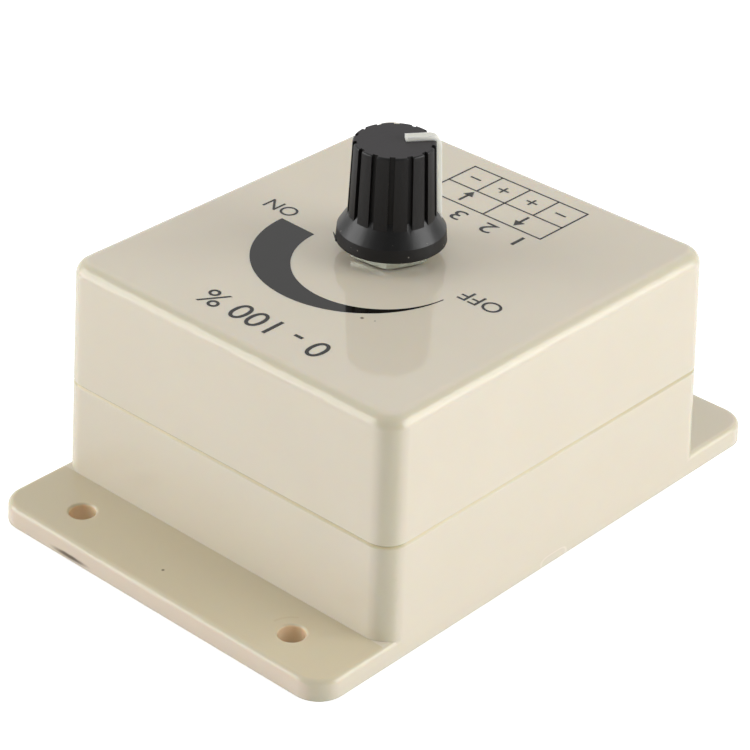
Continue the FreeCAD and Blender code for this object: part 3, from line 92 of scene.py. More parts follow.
# Where the painted warm glow inside the fixing holes begins and ends, and its tone.
HOLE_MOUTH = 0.12 * MM
HOLE_DEPTH_SLACK = 0.02 * MM
HOLE_PAINTED_GLOW = (240, 217, 182)
WASHER_SCUFF = (196, 176, 142)
SCUFF_RADIUS = 3.3 * MM
SCUFF_HALF = 0.3 * MM
SCUFF_CORNER = (-1.6 * MM, -0.2 * MM)
SCUFF_STRENGTH = 0.35

RUB_MARK = (84, 68, 48)
RUB_PLACE = (15.3 * MM, 0.62 * MM)
RUB_HALF = (4.5 * MM, 0.5 * MM)
RUB_DEPTH = 0.3 * MM
RUB_RAGGEDNESS = 1.2 * MM
RUB_STRENGTH = 0.9
DIRT = (66, 54, 42)
DIRT_SPOTS = ((1.92, 40.3, 0.34), (-8.89, 15.37, 0.4), (-10.56, 14.76, 0.2))
DIRT_RAGGEDNESS = 0.3 * MM
DIRT_STRENGTH = 0.8
# A painted highlight along the gate's edge, low on the -X wall.
GATE_PAINTED_HIGHLIGHT = (243, 232, 219)
GATE_CENTRE = -0.5 * MM
GATE_HALF = (2.6 * MM, 1.3 * MM)
GATE_HIGHLIGHT_SHARE = 0.12
GATE_HIGHLIGHT_STRENGTH = 0.5


def colour(tone):
    """A tone as it looks, 0 to 255, turned into the linear values that a shader takes."""
    linear = []
    for part in tone:
        share = part / 255
        linear.append(share / 12.92 if share <= 0.04045 else ((share + 0.055) / 1.055) ** 2.4)
    return (*linear, 1.0)


class Signal:
    """A shader socket in plain arithmetic, where each operator adds one Math node."""

    def __init__(self, finish, socket):
        self.finish = finish
        self.socket = socket

    def maths(self, operation, first, second):
        return self.finish.maths(operation, first, second)

    def __add__(self, other):
        return self.maths("ADD", self, other)

    def __radd__(self, other):
        return self.maths("ADD", other, self)

    def __sub__(self, other):
        return self.maths("SUBTRACT", self, other)

    def __rsub__(self, other):
        return self.maths("SUBTRACT", other, self)

    def __mul__(self, other):
        return self.maths("MULTIPLY", self, other)

    def __rmul__(self, other):
        return self.maths("MULTIPLY", other, self)

    def __pow__(self, other):
        return self.maths("POWER", self, other)

    def __gt__(self, other):
        return self.maths("GREATER_THAN", self, other)

    def __lt__(self, other):
        return self.maths("LESS_THAN", self, other)

    def __abs__(self):
        return self.finish.node("Math", {"operation": "ABSOLUTE"}, {0: self})


class Finish:
    """A material built up node by node, whose patterns follow the piece's own coordinates."""

    def __init__(self, name):
        self.material = bpy.data.materials.new(name)
        self.material.use_nodes = True
        self.tree = self.material.node_tree
        self.skin = self.tree.nodes["Principled BSDF"]
        self.place = self.node("TexCoord", {}, {}, "Object")

    def node(self, kind, settings, sockets, output=0):
        """Adds a node, makes its settings first, then feeds its sockets, and gives one output back."""
        made = self.tree.nodes.new("ShaderNode" + kind)
        for key, value in settings.items():
            setattr(made, key, value)
        for key, value in sockets.items():
            self.feed(made.inputs[key], value)
        return Signal(self, made.outputs[output])

    def maths(self, operation, first, second):
        return self.node("Math", {"operation": operation}, {0: first, 1: second})

    def feed(self, socket, value):
        if isinstance(value, Signal):
            self.tree.links.new(value.socket, socket)
        else:
            socket.default_value = value

    def set(self, **sockets):
        """Feeds the surface's own sockets, whose names are written with _ for a space."""
        for key, value in sockets.items():
            self.feed(self.skin.inputs[key.replace("_", " ")], value)

    def mix(self, mask, first, second):
        """The first colour where the mask is 0, and the second where it is 1."""
        return self.node("Mix", {"data_type": "RGBA"}, {0: mask, 6: first, 7: second}, 2)

    def noise(self, size, detail=3.0, place=None):
        """Cloudy noise from 0 to 1, with blotches about size across."""
        return self.node("TexNoise", {}, {"Vector": place or self.place, "Scale": 1 / size, "Detail": detail})

    def split(self, vector):
        parts = self.node("SeparateXYZ", {}, {0: vector}).socket.node
        return [Signal(self, parts.outputs[axis]) for axis in range(3)]

    def facing(self):
        """How far the surface looks along X, Y and Z."""
        return self.split(self.node("NewGeometry", {}, {}, "Normal"))

    def ramp(self, value, low, high):
        """Climbs smoothly from 0 at low to 1 at high, which may be the lower of the two."""
        return self.node("MapRange", {"interpolation_type": "SMOOTHSTEP"}, {0: value, 1: low, 2: high})

    def drawn(self, size, squeeze):
        """Fine lines: noise drawn out along each axis whose squeeze is small."""
        return self.noise(size, 2.0, self.node("Mapping", {}, {"Vector": self.place, "Scale": squeeze}))

    def relief(self, height, depth, strength=1.0):
        self.set(Normal=self.node("Bump", {}, {"Height": height, "Distance": depth, "Strength": strength}))


def tones_with_painted_shade(finish, on_flange, place, facing):
    """The plastic's own colour, with painted shade on the near flange's top, the flange ends, every edge and the
    seam.
    """
    flatness = sum(part ** 4 for part in map(abs, facing))
    near_flange_shade = on_flange * finish.ramp(facing[2], 0.2, 0.9) * (place[1] > 0)
    seam_shade = finish.ramp(abs(place[2] - SEAM_HEIGHT), SEAM_HALF, SEAM_HALF / 2)
    base = finish.mix(finish.noise(FLOW_MARK), colour(IVORY_SHADE), colour(IVORY))
    # Paints shade on the near flange's top, where the wall beside it shades it.
    base = finish.mix(near_flange_shade, base, colour(PAINTED_FLANGE_SHADE))
    # Paints warm shade on the flanges' end faces.
    base = finish.mix(on_flange * finish.ramp(abs(facing[1]), 0.5, 0.9), base, colour(FLANGE_END_PAINTED_SHADE))
    # Paints warm shade on every rounded edge and corner, found from how far the surface turns off the axes.
    base = finish.mix(finish.ramp(flatness, 0.9, 0.55) * EDGE_SHADE_STRENGTH, base, colour(EDGE_PAINTED_SHADE))
    # Paints shade in the seam's groove between the shells.
    return finish.mix(seam_shade, base, colour(SEAM_PAINTED_SHADE))


def handling_marks(finish, base, place):
    """A rub mark on the near flange's edge and a few specks of dirt."""
    x, y, z = place
    along = (x - RUB_PLACE[0]) * (1 / RUB_HALF[0])
    up = (z - RUB_PLACE[1]) * (1 / RUB_HALF[1]) + (finish.noise(RUB_RAGGEDNESS) - 0.5) * 0.5
    rub = (y > FLANGE_END - RUB_DEPTH) * finish.ramp((along * along + up * up) ** 0.5, 1.0, 0.2)
    base = finish.mix(rub * RUB_STRENGTH, base, colour(RUB_MARK))
    for spot_x, spot_y, radius in DIRT_SPOTS:
        away = ((x - spot_x * MM) ** 2 + (y - spot_y * MM) ** 2) ** 0.5
        ragged = away + finish.noise(DIRT_RAGGEDNESS) * 0.1 * MM
        spot = finish.ramp(ragged, radius * MM, 0.4 * radius * MM)
        base = finish.mix(spot * DIRT_STRENGTH, base, colour(DIRT))
    return base


def hole_glow_and_scuff(finish, base, place):
    """A painted warm glow inside the fixing holes, and the arc that a washer left round one of them."""
    x, y = place[:2]
    across = abs(x) - HOLE_X
    down = abs(y) - HOLE_Y
    reach = (across * across + down * down) ** 0.5
    bore_glow = finish.ramp(reach, HOLE_RADIUS + HOLE_MOUTH, HOLE_RADIUS - HOLE_DEPTH_SLACK)
    # Paints a warm glow inside the holes.
    base = finish.mix(bore_glow, base, colour(HOLE_PAINTED_GLOW))
    in_corner = (across < SCUFF_CORNER[0]) * (down < SCUFF_CORNER[1]) * (x < 0) * (y > 0)
    arc = finish.ramp(abs(reach - SCUFF_RADIUS), SCUFF_HALF, 0) * in_corner
    return finish.mix(arc * SCUFF_STRENGTH, base, colour(WASHER_SCUFF))


def painted_gate_highlight(finish, base, place, facing):
    """A painted highlight: the pale outline, low on the -X wall, of the gate where the plastic entered the mould.
    """
    along = abs(place[1] - GATE_CENTRE) * (1 / GATE_HALF[0])
    up = place[2] * (1 / GATE_HALF[1])
    line = finish.ramp(abs((along ** 4 + up ** 4) ** 0.25 - 1), GATE_HIGHLIGHT_SHARE, 0)
    # Paints the highlight along the gate's edge.
    return finish.mix(line * (facing[0] < -0.9) * GATE_HIGHLIGHT_STRENGTH, base, colour(GATE_PAINTED_HIGHLIGHT))


def ivory_plastic():
    """Polished ivory plastic with painted warm shade and glow at its edges, flanges, seam and holes, a painted
    highlight at its gate, and a few marks of handling.
    """
    finish = Finish("ivory_plastic")
    place = finish.split(finish.place)
    facing = finish.facing()
    low_down = place[2] < FLANGE_TOP + FLANGE_TOP_SLACK
    on_flange = low_down * (abs(place[1]) > FLANGE_START) * (abs(facing[0]) < 0.7)
    base = tones_with_painted_shade(finish, on_flange, place, facing)
    base = handling_marks(finish, base, place)
    base = hole_glow_and_scuff(finish, base, place)
    base = painted_gate_highlight(finish, base, place, facing)
    polish = (facing[2] > 0.9) * (place[2] > SEAM_HEIGHT)
    rough = SIDE_ROUGHNESS - polish * (SIDE_ROUGHNESS - TOP_ROUGHNESS) + on_flange * FLANGE_ROUGHENING
    finish.set(Base_Color=base, Roughness=rough + finish.noise(MOULD_GRAIN, 2.0) * GRAIN_ROUGHENING)
    finish.set(Subsurface_Weight=IVORY_TRANSLUCENCY, Subsurface_Radius=IVORY_LIGHT_SHARES)
    finish.set(Subsurface_Scale=IVORY_LIGHT_REACH, IOR=PLASTIC_IOR)
    finish.relief(finish.noise(SURFACE_WAVE, 1.0), SURFACE_WAVE_DEPTH)
    return finish.material


def only(piece):
    """Selects one piece and nothing else."""
    bpy.ops.object.select_all(action="DESELECT")
    piece.select_set(True)
    bpy.context.view_layer.objects.active = piece


def modified(piece, kind, **settings):
    """Adds a modifier to a piece and applies it."""
    only(piece)
    modifier = piece.modifiers.new(kind.lower(), kind)
    for key, value in settings.items():
        setattr(modifier, key, value)
    bpy.ops.object.modifier_apply(modifier=modifier.name)


def rounded(piece, width, angle):
    """Breaks the edges of a piece that are sharper than an angle, and leaves its flat faces flat."""
    modified(piece, "BEVEL", limit_method="ANGLE", angle_limit=angle, width=width, segments=3)
    bpy.ops.object.shade_smooth_by_angle(angle=angle)
    modified(piece, "WEIGHTED_NORMAL", keep_sharp=True)


def dressed(piece, material, body, slot, *stands_for):
    """Gives a new piece its finish and ties it to what it moves with and what it stands for."""
    piece.data.materials.clear()
    piece.data.materials.append(material)
    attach(piece, body)
    if stands_for:
        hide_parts(*stands_for)


def eased_copy(node, width, material, body, slot, angle=CASE_SMOOTH_ANGLE):
    """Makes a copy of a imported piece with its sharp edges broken, which stands for it."""
    piece = bpy.data.objects.new(node + "_eased", frame["nodes"][node].data.copy())
    bpy.context.scene.collection.objects.link(piece)
    only(piece)
    bpy.ops.object.mode_set(mode="EDIT")
    bpy.ops.mesh.select_all(action="SELECT")
    bpy.ops.mesh.remove_doubles(threshold=0.0005 * MM)
    bpy.ops.mesh.dissolve_limited(angle_limit=math.radians(0.6))
    bpy.ops.object.mode_set(mode="OBJECT")
    rounded(piece, width, angle)
    dressed(piece, material, body, slot, node)


IVORY_PLASTIC = ivory_plastic()
eased_copy("base_shell", CASE_EDGE, IVORY_PLASTIC, "case", "case_plastic")
eased_copy("top_cover", CASE_EDGE / 2, IVORY_PLASTIC, "case", "case_plastic")


# Printed legend
# One pass of dark grey screen ink on the polished cover: a swelling crescent from off to on, a plain scale,
# and the ruled table over the terminals. It's thinner than a hair and takes the cover's gloss.
INK = (20, 18, 14)
INK_THIN = (28, 26, 22)
INK_THICKNESS = 0.03 * MM
INK_SINK = 0.01 * MM
COVER_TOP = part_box("top_cover")[1].z
INK_MIDDLE = COVER_TOP - INK_SINK + INK_THICKNESS / 2

# The crescent's circles as centre and radius, the point at off, and the slant of the line that cuts it there.
CRESCENT_OUTER = (1.95 * MM, 3.16 * MM, 15.14 * MM)
CRESCENT_INNER = (-1.09 * MM, 3.16 * MM, 11.96 * MM)
CRESCENT_TIP = (-13.0 * MM, 4.45 * MM)
CRESCENT_SLANT = 0.044
CIRCLE_SIDES = 192

WAYS = 4
RULE_WIDTH = 0.25 * MM
TABLE_LEFT = -11.26 * MM
TABLE_RIGHT = 9.0 * MM
TABLE_CELL = (TABLE_RIGHT - TABLE_LEFT) / WAYS
TABLE_RULES = (-17.2 * MM, -21.8 * MM, -27.41 * MM)

# Each line of type with its left, right, foot and head in millimetres.
TYPE_LINES = (
    ("legend_on", "ON", 16.55, 21.73, -0.2, 2.29),
    ("legend_off", "OFF", -20.12, -13.74, 0.3, 2.79),
    ("legend_scale", "0 - 100 %", -11.65, 9.67, 23.22, 27.0),
    ("legend_ways", "1  2  3  4", -9.76, 7.38, -15.94, -13.25),
)
SIGNS = "-++-"
SIGN_HALF_WIDTH = 0.9 * MM
SIGN_HALF_HEIGHT = {"+": 0.9 * MM, "-": 0.16 * MM}
ARROW_HEAD = 0.95 * MM
ARROW_REACH = 0.9 * MM
ARROW_NECK = 0.54 * MM
ARROW_TAIL = 1.44 * MM
ARROW_STEM_HALF = 0.2 * MM


def screen_ink():
    """Dense ink whose edge and body vary a little, glossy like the plastic under it."""
    finish = Finish("screen_ink")
    finish.set(Base_Color=finish.mix(finish.noise(1.5 * MM), colour(INK), colour(INK_THIN)))
    finish.set(Roughness=0.05 + finish.noise(0.4 * MM) * 0.05, IOR=PLASTIC_IOR)
    finish.relief(finish.noise(0.25 * MM), 0.002 * MM, 0.5)
    return finish.material


SCREEN_INK = screen_ink()


def inked(piece):
    """Gives a printed shape its ink and makes it part of the case."""
    dressed(piece, SCREEN_INK, "case", "case_plastic")


def disc(name, centre_x, centre_y, radius, depth):
    """A round plate, centred in the height of the ink."""
    bpy.ops.mesh.primitive_cylinder_add(vertices=CIRCLE_SIDES, radius=radius, depth=depth,
                                        location=(centre_x, centre_y, INK_MIDDLE))
    made = bpy.context.active_object
    made.name = name
    only(made)
    bpy.ops.object.transform_apply(location=True)
    return made


def crescent():
    """The outer circle less the inner one, kept above the line that gives it a point at off."""
    outer = disc("legend_crescent", *CRESCENT_OUTER, INK_THICKNESS)
    inner = disc("crescent_cutter", *CRESCENT_INNER, 4 * INK_THICKNESS)
    modified(outer, "BOOLEAN", operation="DIFFERENCE", object=inner, solver="EXACT")
    bpy.data.objects.remove(inner)
    only(outer)
    bpy.ops.object.mode_set(mode="EDIT")
    bpy.ops.mesh.select_all(action="SELECT")
    bpy.ops.mesh.bisect(plane_co=(*CRESCENT_TIP, 0), plane_no=(CRESCENT_SLANT, 1, 0),
                        use_fill=True, clear_inner=True)
    bpy.ops.object.mode_set(mode="OBJECT")
    inked(outer)


def bar(name, x0, x1, y0, y1):
    """One straight stroke of ink."""
    bpy.ops.mesh.primitive_cube_add(size=1, location=((x0 + x1) / 2, (y0 + y1) / 2, INK_MIDDLE))
    made = bpy.context.active_object
    made.name = name
    made.scale = (x1 - x0, y1 - y0, INK_THICKNESS)
    only(made)
    bpy.ops.object.transform_apply(location=True, scale=True)
    return made


def table():
    """Three rules and five walls. Every second wall stops at the middle rule, so two cells lie over four."""
    half = RULE_WIDTH / 2
    top, middle, bottom = TABLE_RULES
    rules = [bar("rule", TABLE_LEFT - half, TABLE_RIGHT + half, y - half, y + half) for y in TABLE_RULES]
    for wall in range(WAYS + 1):
        x = TABLE_LEFT + wall * TABLE_CELL
        reach = top if wall % 2 == 0 else middle
        rules.append(bar("rule", x - half, x + half, bottom, reach))
    bpy.ops.object.select_all(action="DESELECT")
    for rule in rules:
        rule.select_set(True)
    bpy.context.view_layer.objects.active = rules[0]
    bpy.ops.object.join()
    rules[0].name = "legend_table"
    inked(rules[0])


def words(name, text, x0, x1, y0, y1):
    """A line of type, stretched to its place on the cover and to the ink's thickness."""
    bpy.ops.object.text_add()
    made = bpy.context.active_object
    made.name = name
    made.data.body = text
    made.data.extrude = 0.5
    only(made)
    bpy.ops.object.convert(target="MESH")
    made = bpy.context.active_object
    spots = [vertex.co for vertex in made.data.vertices]
    low = Vector([min(spot[axis] for spot in spots) for axis in range(3)])
    high = Vector([max(spot[axis] for spot in spots) for axis in range(3)])
    size = high - low
    made.scale = ((x1 - x0) / size.x, (y1 - y0) / size.y, INK_THICKNESS / size.z)
    base = (x0, y0, COVER_TOP - INK_SINK)
    made.location = [base[axis] - low[axis] * made.scale[axis] for axis in range(3)]
    only(made)
    bpy.ops.object.transform_apply(location=True, scale=True)
    inked(made)


def arrow(name, x, y, way):
    """A filled arrow that points up the legend, or down it when way is -1."""
    bpy.ops.mesh.primitive_cylinder_add(vertices=3, radius=ARROW_HEAD, depth=INK_THICKNESS,
                                        location=(x, y + way * ARROW_REACH, INK_MIDDLE),
                                        rotation=(0, 0, math.radians(90 - 90 * way)))
    head = bpy.context.active_object
    only(head)
    bpy.ops.object.transform_apply(location=True, rotation=True)
    tail = y - way * ARROW_TAIL
    neck = y + way * ARROW_NECK
    stem = bar(name, x - ARROW_STEM_HALF, x + ARROW_STEM_HALF, min(tail, neck), max(tail, neck))
    head.select_set(True)
    bpy.ops.object.join()
    inked(stem)


crescent()
table()
for name, text, *edges in TYPE_LINES:
    words(name, text, *[edge * MM for edge in edges])
SIGN_HEIGHT = (TABLE_RULES[1] + TABLE_RULES[2]) / 2
for way, sign in enumerate(SIGNS):
    middle = TABLE_LEFT + (way + 0.5) * TABLE_CELL
    words("legend_sign_%d" % (way + 1), sign, middle - SIGN_HALF_WIDTH, middle + SIGN_HALF_WIDTH,
          SIGN_HEIGHT - SIGN_HALF_HEIGHT[sign], SIGN_HEIGHT + SIGN_HALF_HEIGHT[sign])
ARROW_HEIGHT = (TABLE_RULES[0] + TABLE_RULES[1]) / 2
arrow("legend_in", TABLE_LEFT + TABLE_CELL, ARROW_HEIGHT, 1)
arrow("legend_out", TABLE_RIGHT - TABLE_CELL, ARROW_HEIGHT, -1)


# Knob
# A push-on knob moulded in black plastic with a satin skin: a flared skirt, fourteen divisions that taper to
# the top, one of them a white strip let in flush, and a splined socket underneath that grips the shaft.
KNOB_BLACK = (30, 29, 29)
# Painted light: the knob's flat top is coloured paler than its sides.
KNOB_TOP_PAINTED_LIGHT = (65, 63, 64)
# Painted shade: the flare is coloured darker than the rest of the knob.
FLARE_PAINTED_SHADE = (13, 13, 13)
KNOB_EDGE = 0.18 * MM
KNOB_SMOOTH_ANGLE = math.radians(24)
KNOB_AXIS = frame["joints"][0]["pos_m"]
KNOB_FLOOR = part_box("knob_body")[0].z
RIM_RADIUS = (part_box("knob_body")[1].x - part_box("knob_body")[0].x) / 2

KNOB_SCUFF = (150, 146, 138)
SCUFFED_HEIGHT = 4.6 * MM
KNOB_SCUFF_SIZE = 0.7 * MM
KNOB_SCUFF_RARITY = 0.73
RIM_SPECKS = ((94.9, 0.96 * MM), (149.9, 0.78 * MM))
SPECK_SIZE = 0.16 * MM

# The ends of the flash as a bearing in degrees, a reach past the rim and a height.
FLASH_ROOT = (54.3, -0.05 * MM, 0.1 * MM)
FLASH_TIP = (41.3, 0.28 * MM, 0.45 * MM)
FLASH_ROOT_RADIUS = 0.2 * MM
FLASH_TIP_RADIUS = 0.04 * MM

STRIP_WHITE = (252, 250, 238)
STRIP_SHADE = (243, 241, 227)
# Painted shade on the strip's upward face.
STRIP_TOP_PAINTED_SHADE = (226, 225, 213)
STRIP_EDGE = 0.16 * MM
STRIP_TRANSLUCENCY = 0.7
STRIP_LIGHT_REACH = 1.2 * MM
STRIP_LIGHT_SHARES = (1.0, 0.95, 0.85)


def round_knob(bearing, beyond, height):
    """A place on the knob's rim, from its bearing in degrees, its reach past the rim and its height."""
    angle = math.radians(bearing)
    reach = RIM_RADIUS + beyond
    x = KNOB_AXIS[0] + reach * math.cos(angle)
    y = KNOB_AXIS[1] + reach * math.sin(angle)
    return Vector((x, y, KNOB_FLOOR + height))


def knob_plastic():
    """Satin black, matt on the flat top, glossier on the flare, with a few pale scuffs on the rim; light is
    painted on the top and shade on the flare.
    """
    finish = Finish("knob_plastic")
    x, y, z = finish.split(finish.place)
    up = finish.facing()[2]
    top = up > 0.95
    flare = finish.ramp(up, 0.25, 0.5) - top
    scuff = (z < KNOB_FLOOR + SCUFFED_HEIGHT) * (finish.noise(KNOB_SCUFF_SIZE, 4.0) > KNOB_SCUFF_RARITY)
    # Paints light on the flat top, paler than the sides.
    base = finish.mix(top, colour(KNOB_BLACK), colour(KNOB_TOP_PAINTED_LIGHT))
    # Paints shade on the flare, darker than the ribs.
    base = finish.mix(flare, base, colour(FLARE_PAINTED_SHADE))
    base = finish.mix(scuff * 0.5, base, colour(KNOB_SCUFF))
    for bearing, height in RIM_SPECKS:
        speck = round_knob(bearing, 0, height)
        away = ((x - speck.x) ** 2 + (y - speck.y) ** 2 + (z - speck.z) ** 2) ** 0.5
        base = finish.mix(finish.ramp(away, SPECK_SIZE, SPECK_SIZE / 2) * 0.6, base, colour(KNOB_SCUFF))
    finish.set(Base_Color=base, Roughness=0.44 + top * 0.1 + finish.noise(0.6 * MM) * 0.06)
    finish.set(Specular_IOR_Level=0.22, Coat_Weight=flare * 0.5, Coat_Roughness=0.3)
    finish.relief(finish.noise(0.12 * MM, 2.0), 0.012 * MM, 0.5)
    return finish.material


def strip_plastic():
    """White plastic, a little grey where fingers have touched it, with painted shade on its top."""
    finish = Finish("strip_plastic")
    base = finish.mix(finish.noise(2.5 * MM, 4.0), colour(STRIP_SHADE), colour(STRIP_WHITE))
    base = finish.mix(finish.ramp(finish.facing()[2], 0.7, 0.95), base, colour(STRIP_TOP_PAINTED_SHADE))
    finish.set(Base_Color=base, Roughness=0.3 + finish.noise(0.8 * MM) * 0.1)
    finish.set(Subsurface_Weight=STRIP_TRANSLUCENCY, Subsurface_Radius=STRIP_LIGHT_SHARES)
    finish.set(Subsurface_Scale=STRIP_LIGHT_REACH)
    finish.relief(finish.noise(0.3 * MM), 0.006 * MM, 0.4)
    return finish.material


def flash(material):
    """A thin curl of flash that the mould left at the foot of the rim."""
    root = round_knob(*FLASH_ROOT)
    tip = round_knob(*FLASH_TIP)
    along = tip - root
    turn = along.to_track_quat("Z", "Y").to_euler()
    bpy.ops.mesh.primitive_cone_add(vertices=16, radius1=FLASH_ROOT_RADIUS, radius2=FLASH_TIP_RADIUS,
                                    depth=along.length, location=(root + tip) / 2, rotation=turn)
    made = bpy.context.active_object
    made.name = "knob_flash"
    only(made)
    bpy.ops.object.transform_apply(location=True, rotation=True)
    dressed(made, material, "knob", "knob_plastic")


KNOB_PLASTIC = knob_plastic()
eased_copy("knob_body", KNOB_EDGE, KNOB_PLASTIC, "knob", "knob_plastic", KNOB_SMOOTH_ANGLE)
flash(KNOB_PLASTIC)
eased_copy("knob_pointer", STRIP_EDGE, strip_plastic(), "knob", "pointer_plastic")


# Nut
# A hexagon nut clamps the control straight to the cover. It's steel, zinc plated, with the pale greenish film
# that passivation leaves, and shade is painted dark at its foot, where it sits on the cover.
ZINC = (214, 218, 206)
ZINC_FILM = (188, 193, 178)
ZINC_SHINE = 0.7
ZINC_ROUGHNESS = 0.14
FILM_CLOUD = 1.3 * MM
FILM_ROUGHENING = 0.12
PLATE_GRAIN = 0.15 * MM
PLATE_GRAIN_DEPTH = 0.004 * MM
FASTENER_EDGE = 0.07 * MM
NUT_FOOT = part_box("hex_nut")[0].z
NUT_FOOT_DEPTH = 0.36 * MM
# Painted shade at the nut's foot, where it sits on the cover.
NUT_FOOT_PAINTED_SHADE = (116, 112, 100)
NUT_FOOT_ROUGHENING = 0.2


def nut_plate():
    """Zinc plate, rougher at the foot of the nut, where shade is painted dark."""
    finish = Finish("nut_plate")
    cloud = finish.noise(FILM_CLOUD, 4.0)
    rise = finish.split(finish.place)[2] - NUT_FOOT
    foot = finish.ramp(rise, NUT_FOOT_DEPTH, NUT_FOOT_DEPTH / 2)
    tone = finish.mix(cloud, colour(ZINC_FILM), colour(ZINC))
    # Paints shade on the nut's foot.
    finish.set(Base_Color=finish.mix(foot, tone, colour(NUT_FOOT_PAINTED_SHADE)), Metallic=ZINC_SHINE)
    finish.set(Roughness=ZINC_ROUGHNESS + cloud * FILM_ROUGHENING + foot * NUT_FOOT_ROUGHENING)
    finish.relief(finish.noise(PLATE_GRAIN, 3.0), PLATE_GRAIN_DEPTH, 0.5)
    return finish.material


eased_copy("hex_nut", FASTENER_EDGE, nut_plate(), "case", "plated_steel")


# Terminal block
# A fixed header on the board and the plug that pushes into it, both moulded in green polyamide. Tinned pins
# run into tinned sockets, and each way has a slotted screw over a rising cage that nips the wire.
TERMINAL_GREEN = (46, 128, 70)
TERMINAL_DEEP = (34, 108, 58)
TERMINAL_EDGE = 0.1 * MM
TIN = (196, 195, 188)
TIN_FILM = (166, 164, 154)
TERMINAL_STEEL = (188, 188, 180)
TERMINAL_STEEL_DULL = (150, 150, 140)


def plated(name, bright, film, roughness, grain=PLATE_GRAIN, metal=1.0):
    """Plated metal: cloudy where the film is thicker, with a fine grain in its gloss."""
    finish = Finish(name)
    cloud = finish.noise(FILM_CLOUD, 4.0)
    finish.set(Base_Color=finish.mix(cloud, colour(film), colour(bright)), Metallic=metal)
    finish.set(Roughness=roughness + cloud * FILM_ROUGHENING + finish.noise(grain) * 0.06)
    finish.relief(finish.noise(grain, 3.0), PLATE_GRAIN_DEPTH, 0.5)
    return finish.material


def moulded(name, tone, shade, roughness, grain=0.25 * MM, depth=0.01 * MM):
    """Moulded plastic: slow flow marks in its colour and a fine eroded texture in its skin."""
    finish = Finish(name)
    finish.set(Base_Color=finish.mix(finish.noise(6 * MM, 4.0), colour(shade), colour(tone)))
    finish.set(Roughness=roughness + finish.noise(3 * MM) * 0.1)
    finish.relief(finish.noise(grain, 3.0), depth, 0.6)
    return finish.material


def coated(material, *nodes):
    """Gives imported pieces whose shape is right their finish."""
    for node in nodes:
        frame["nodes"][node].material_slots[0].material = material


TERMINAL_PLASTIC = moulded("terminal_plastic", TERMINAL_GREEN, TERMINAL_DEEP, 0.38)
TIN_PLATE = plated("tin_plate", TIN, TIN_FILM, 0.24)
SCREW_PLATE = plated("screw_plate", TERMINAL_STEEL, TERMINAL_STEEL_DULL, 0.2)
CLAMP_PLATE = plated("zinc_plate", ZINC, ZINC_FILM, ZINC_ROUGHNESS, metal=ZINC_SHINE)
eased_copy("header_housing", TERMINAL_EDGE, TERMINAL_PLASTIC, "case", "terminal_plastic")
eased_copy("plug_housing", TERMINAL_EDGE, TERMINAL_PLASTIC, "plug", "terminal_plastic")
coated(TIN_PLATE, "header_pins", "plug_contacts")
for way in range(1, WAYS + 1):
    eased_copy("terminal_screw_%d" % way, FASTENER_EDGE, SCREW_PLATE, "screw_%d" % way, "plated_steel")
    coated(CLAMP_PLATE, "wire_clamp_%d" % way)


# Case and board screws
# Self-tapping screws: four come up through the base into the cover's posts, and four hold the board on its
# standoffs. They and the heat sink's screw are bright zinc plated and a little scratched by the driver.
SCREW_BRIGHT = (196, 198, 196)
SCREW_WORN = (128, 128, 122)
SCRATCH_GRAIN = 0.3 * MM
CASE_SCREW_PLATE = plated("case_screw_plate", SCREW_BRIGHT, SCREW_WORN, 0.24, SCRATCH_GRAIN)
eased_copy("case_screws", FASTENER_EDGE, CASE_SCREW_PLATE, "case", "plated_steel")
coated(CASE_SCREW_PLATE, "board_screws", "heat_sink_screw")


# Potentiometer
# A cast zinc plate and neck, closed below by a pressed steel can. Inside, a sprung brass wiper on a resin
# rotor sweeps a printed carbon track, and a circlip keeps the knurled aluminium shaft in the neck.
CAST_GREY = (168, 170, 172)
CAST_DARK = (134, 136, 138)
CAST_GRAIN = 0.4 * MM
CAN_DULL = (160, 162, 160)
RESIN_BROWN = (128, 82, 46)
RESIN_DARK = (94, 58, 32)
CARBON = (30, 29, 30)
CARBON_WORN = (48, 47, 48)
SHAFT_SILVER = (206, 207, 210)
SHAFT_DULL = (170, 171, 174)
SPRING_STEEL = (110, 108, 106)
SPRING_DARK = (70, 68, 68)
BRASS = (200, 164, 92)
BRASS_DULL = (160, 126, 66)
LEAD_TONES = ((32, 32, 34), (196, 40, 34), (214, 206, 190))


def laminate():
    """Brown laminated resin, whose paper layers show as fine streaks."""
    finish = Finish("phenolic_board")
    streaks = finish.drawn(0.8 * MM, (0.15, 1.0, 1.0))
    finish.set(Base_Color=finish.mix(streaks, colour(RESIN_DARK), colour(RESIN_BROWN)))
    finish.set(Roughness=0.42 + streaks * 0.15)
    finish.relief(streaks, 0.01 * MM, 0.5)
    return finish.material


def carbon_print():
    """Matt carbon ink with a grainy surface."""
    finish = Finish("carbon_film")
    grain = finish.noise(0.1 * MM, 4.0)
    finish.set(Base_Color=finish.mix(grain, colour(CARBON), colour(CARBON_WORN)), Roughness=0.5 + grain * 0.2)
    finish.relief(grain, 0.01 * MM, 0.6)
    return finish.material


def turned_metal(name, tone, dull, roughness):
    """Metal turned about an upright axis, so its tool marks run round it."""
    finish = Finish(name)
    marks = finish.drawn(0.12 * MM, (0.05, 0.05, 1.0))
    finish.set(Base_Color=finish.mix(marks, colour(dull), colour(tone)), Metallic=1.0)
    finish.set(Roughness=roughness + marks * 0.15)
    finish.relief(marks, 0.005 * MM, 0.7)
    return finish.material


